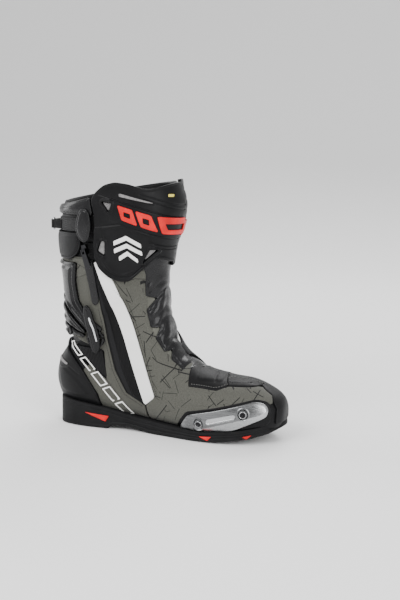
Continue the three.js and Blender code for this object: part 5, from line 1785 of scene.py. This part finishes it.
def made_by(*makers):
    for make in makers:
        make()
    return {"FINISHED"}


class BOOT_OT_studio(BootOperator, bpy.types.Operator):
    """Make the floor, the lights and the camera"""
    bl_idname = "boot.studio"
    bl_label = "Studio"

    def execute(self, context):
        return made_by(make_studio)


class BOOT_OT_sole(BootOperator, bpy.types.Operator):
    """Make the rubber outsole and its red inserts"""
    bl_idname = "boot.sole"
    bl_label = "Sole"

    def execute(self, context):
        return made_by(make_sole)


class BOOT_OT_shells(BootOperator, bpy.types.Operator):
    """Make the lasted leather shells, the lining, the collar roll and the insole"""
    bl_idname = "boot.shells"
    bl_label = "Shells"

    def execute(self, context):
        return made_by(make_shells, make_lining, make_insole)


class BOOT_OT_toe(BootOperator, bpy.types.Operator):
    """Make the vamp and the toe cap"""
    bl_idname = "boot.toe"
    bl_label = "Toe"

    def execute(self, context):
        return made_by(make_toe)


class BOOT_OT_outer_side(BootOperator, bpy.types.Operator):
    """Make the grey textile, the zip band and its white stripe"""
    bl_idname = "boot.outer_side"
    bl_label = "Outer side"

    def execute(self, context):
        return made_by(make_outer_quarter, make_zip)


class BOOT_OT_front(BootOperator, bpy.types.Operator):
    """Make the coated leather over the shin and instep"""
    bl_idname = "boot.front"
    bl_label = "Front"

    def execute(self, context):
        return made_by(make_front)


class BOOT_OT_heel(BootOperator, bpy.types.Operator):
    """Make the heel counter, strap, pad and marks"""
    bl_idname = "boot.heel"
    bl_label = "Heel"

    def execute(self, context):
        return made_by(make_heel, make_strap_marks)


class BOOT_OT_inner_side(BootOperator, bpy.types.Operator):
    """Make the ankle guard, the chevron leather and the quilted leather"""
    bl_idname = "boot.inner_side"
    bl_label = "Inner side"

    def execute(self, context):
        return made_by(make_ankle_guard, make_inner_panels)


class BOOT_OT_mechanism(BootOperator, bpy.types.Operator):
    """Make the calf brace, the stirrups, the pivots and their covers"""
    bl_idname = "boot.mechanism"
    bl_label = "Ankle mechanism"

    def execute(self, context):
        return made_by(make_brace, make_stirrups, make_pivots)


class BOOT_OT_shin(BootOperator, bpy.types.Operator):
    """Make the shin plate, its vents, bars and marks"""
    bl_idname = "boot.shin"
    bl_label = "Shin plate"

    def execute(self, context):
        return made_by(make_shin_plate, make_shin_marks)


class BOOT_OT_closure(BootOperator, bpy.types.Operator):
    """Make the collar pad, the flap, the ring and the strap"""
    bl_idname = "boot.closure"
    bl_label = "Closure"

    def execute(self, context):
        return made_by(make_collar, make_closure, make_strap)


class BOOT_OT_slider(BootOperator, bpy.types.Operator):
    """Make the toe slider and its screws"""
    bl_idname = "boot.slider"
    bl_label = "Toe slider"

    def execute(self, context):
        return made_by(make_slider)


class BOOT_OT_stitching(BootOperator, bpy.types.Operator):
    """Make the rows of stitches"""
    bl_idname = "boot.stitching"
    bl_label = "Stitching"

    def execute(self, context):
        return made_by(make_stitching)


OPERATORS = (BOOT_OT_studio, BOOT_OT_sole, BOOT_OT_shells, BOOT_OT_toe, BOOT_OT_outer_side, BOOT_OT_front,
             BOOT_OT_heel, BOOT_OT_inner_side, BOOT_OT_mechanism, BOOT_OT_shin, BOOT_OT_closure,
             BOOT_OT_slider,
             BOOT_OT_stitching)


class BOOT_PT_pieces(bpy.types.Panel):
    """Lists the boot's sizes, colours and pieces"""
    bl_idname = "BOOT_PT_pieces"
    bl_label = "Racing boot"
    bl_space_type = "VIEW_3D"
    bl_region_type = "UI"
    bl_category = "Boot"

    def draw(self, context):
        for group in (context.scene.boot_sizes, context.scene.boot_colours):
            for name in group.bl_rna.properties.keys():
                if name not in ("rna_type", "name"):
                    self.layout.prop(group, name)
        for operator in OPERATORS:
            self.layout.operator(operator.bl_idname)


CLASSES = (BootSizes, BootColours, *OPERATORS, BOOT_PT_pieces)


def register():
    for cls in CLASSES:
        bpy.utils.register_class(cls)
    bpy.types.Scene.boot_sizes = PointerProperty(type=BootSizes)
    bpy.types.Scene.boot_colours = PointerProperty(type=BootColours)


def unregister():
    del bpy.types.Scene.boot_colours
    del bpy.types.Scene.boot_sizes
    for cls in reversed(CLASSES):
        bpy.utils.unregister_class(cls)


def main():
    register()
    for operator in OPERATORS:
        getattr(bpy.ops.boot, operator.bl_idname.split(".")[1])()


if __name__ == "__main__":
    main()
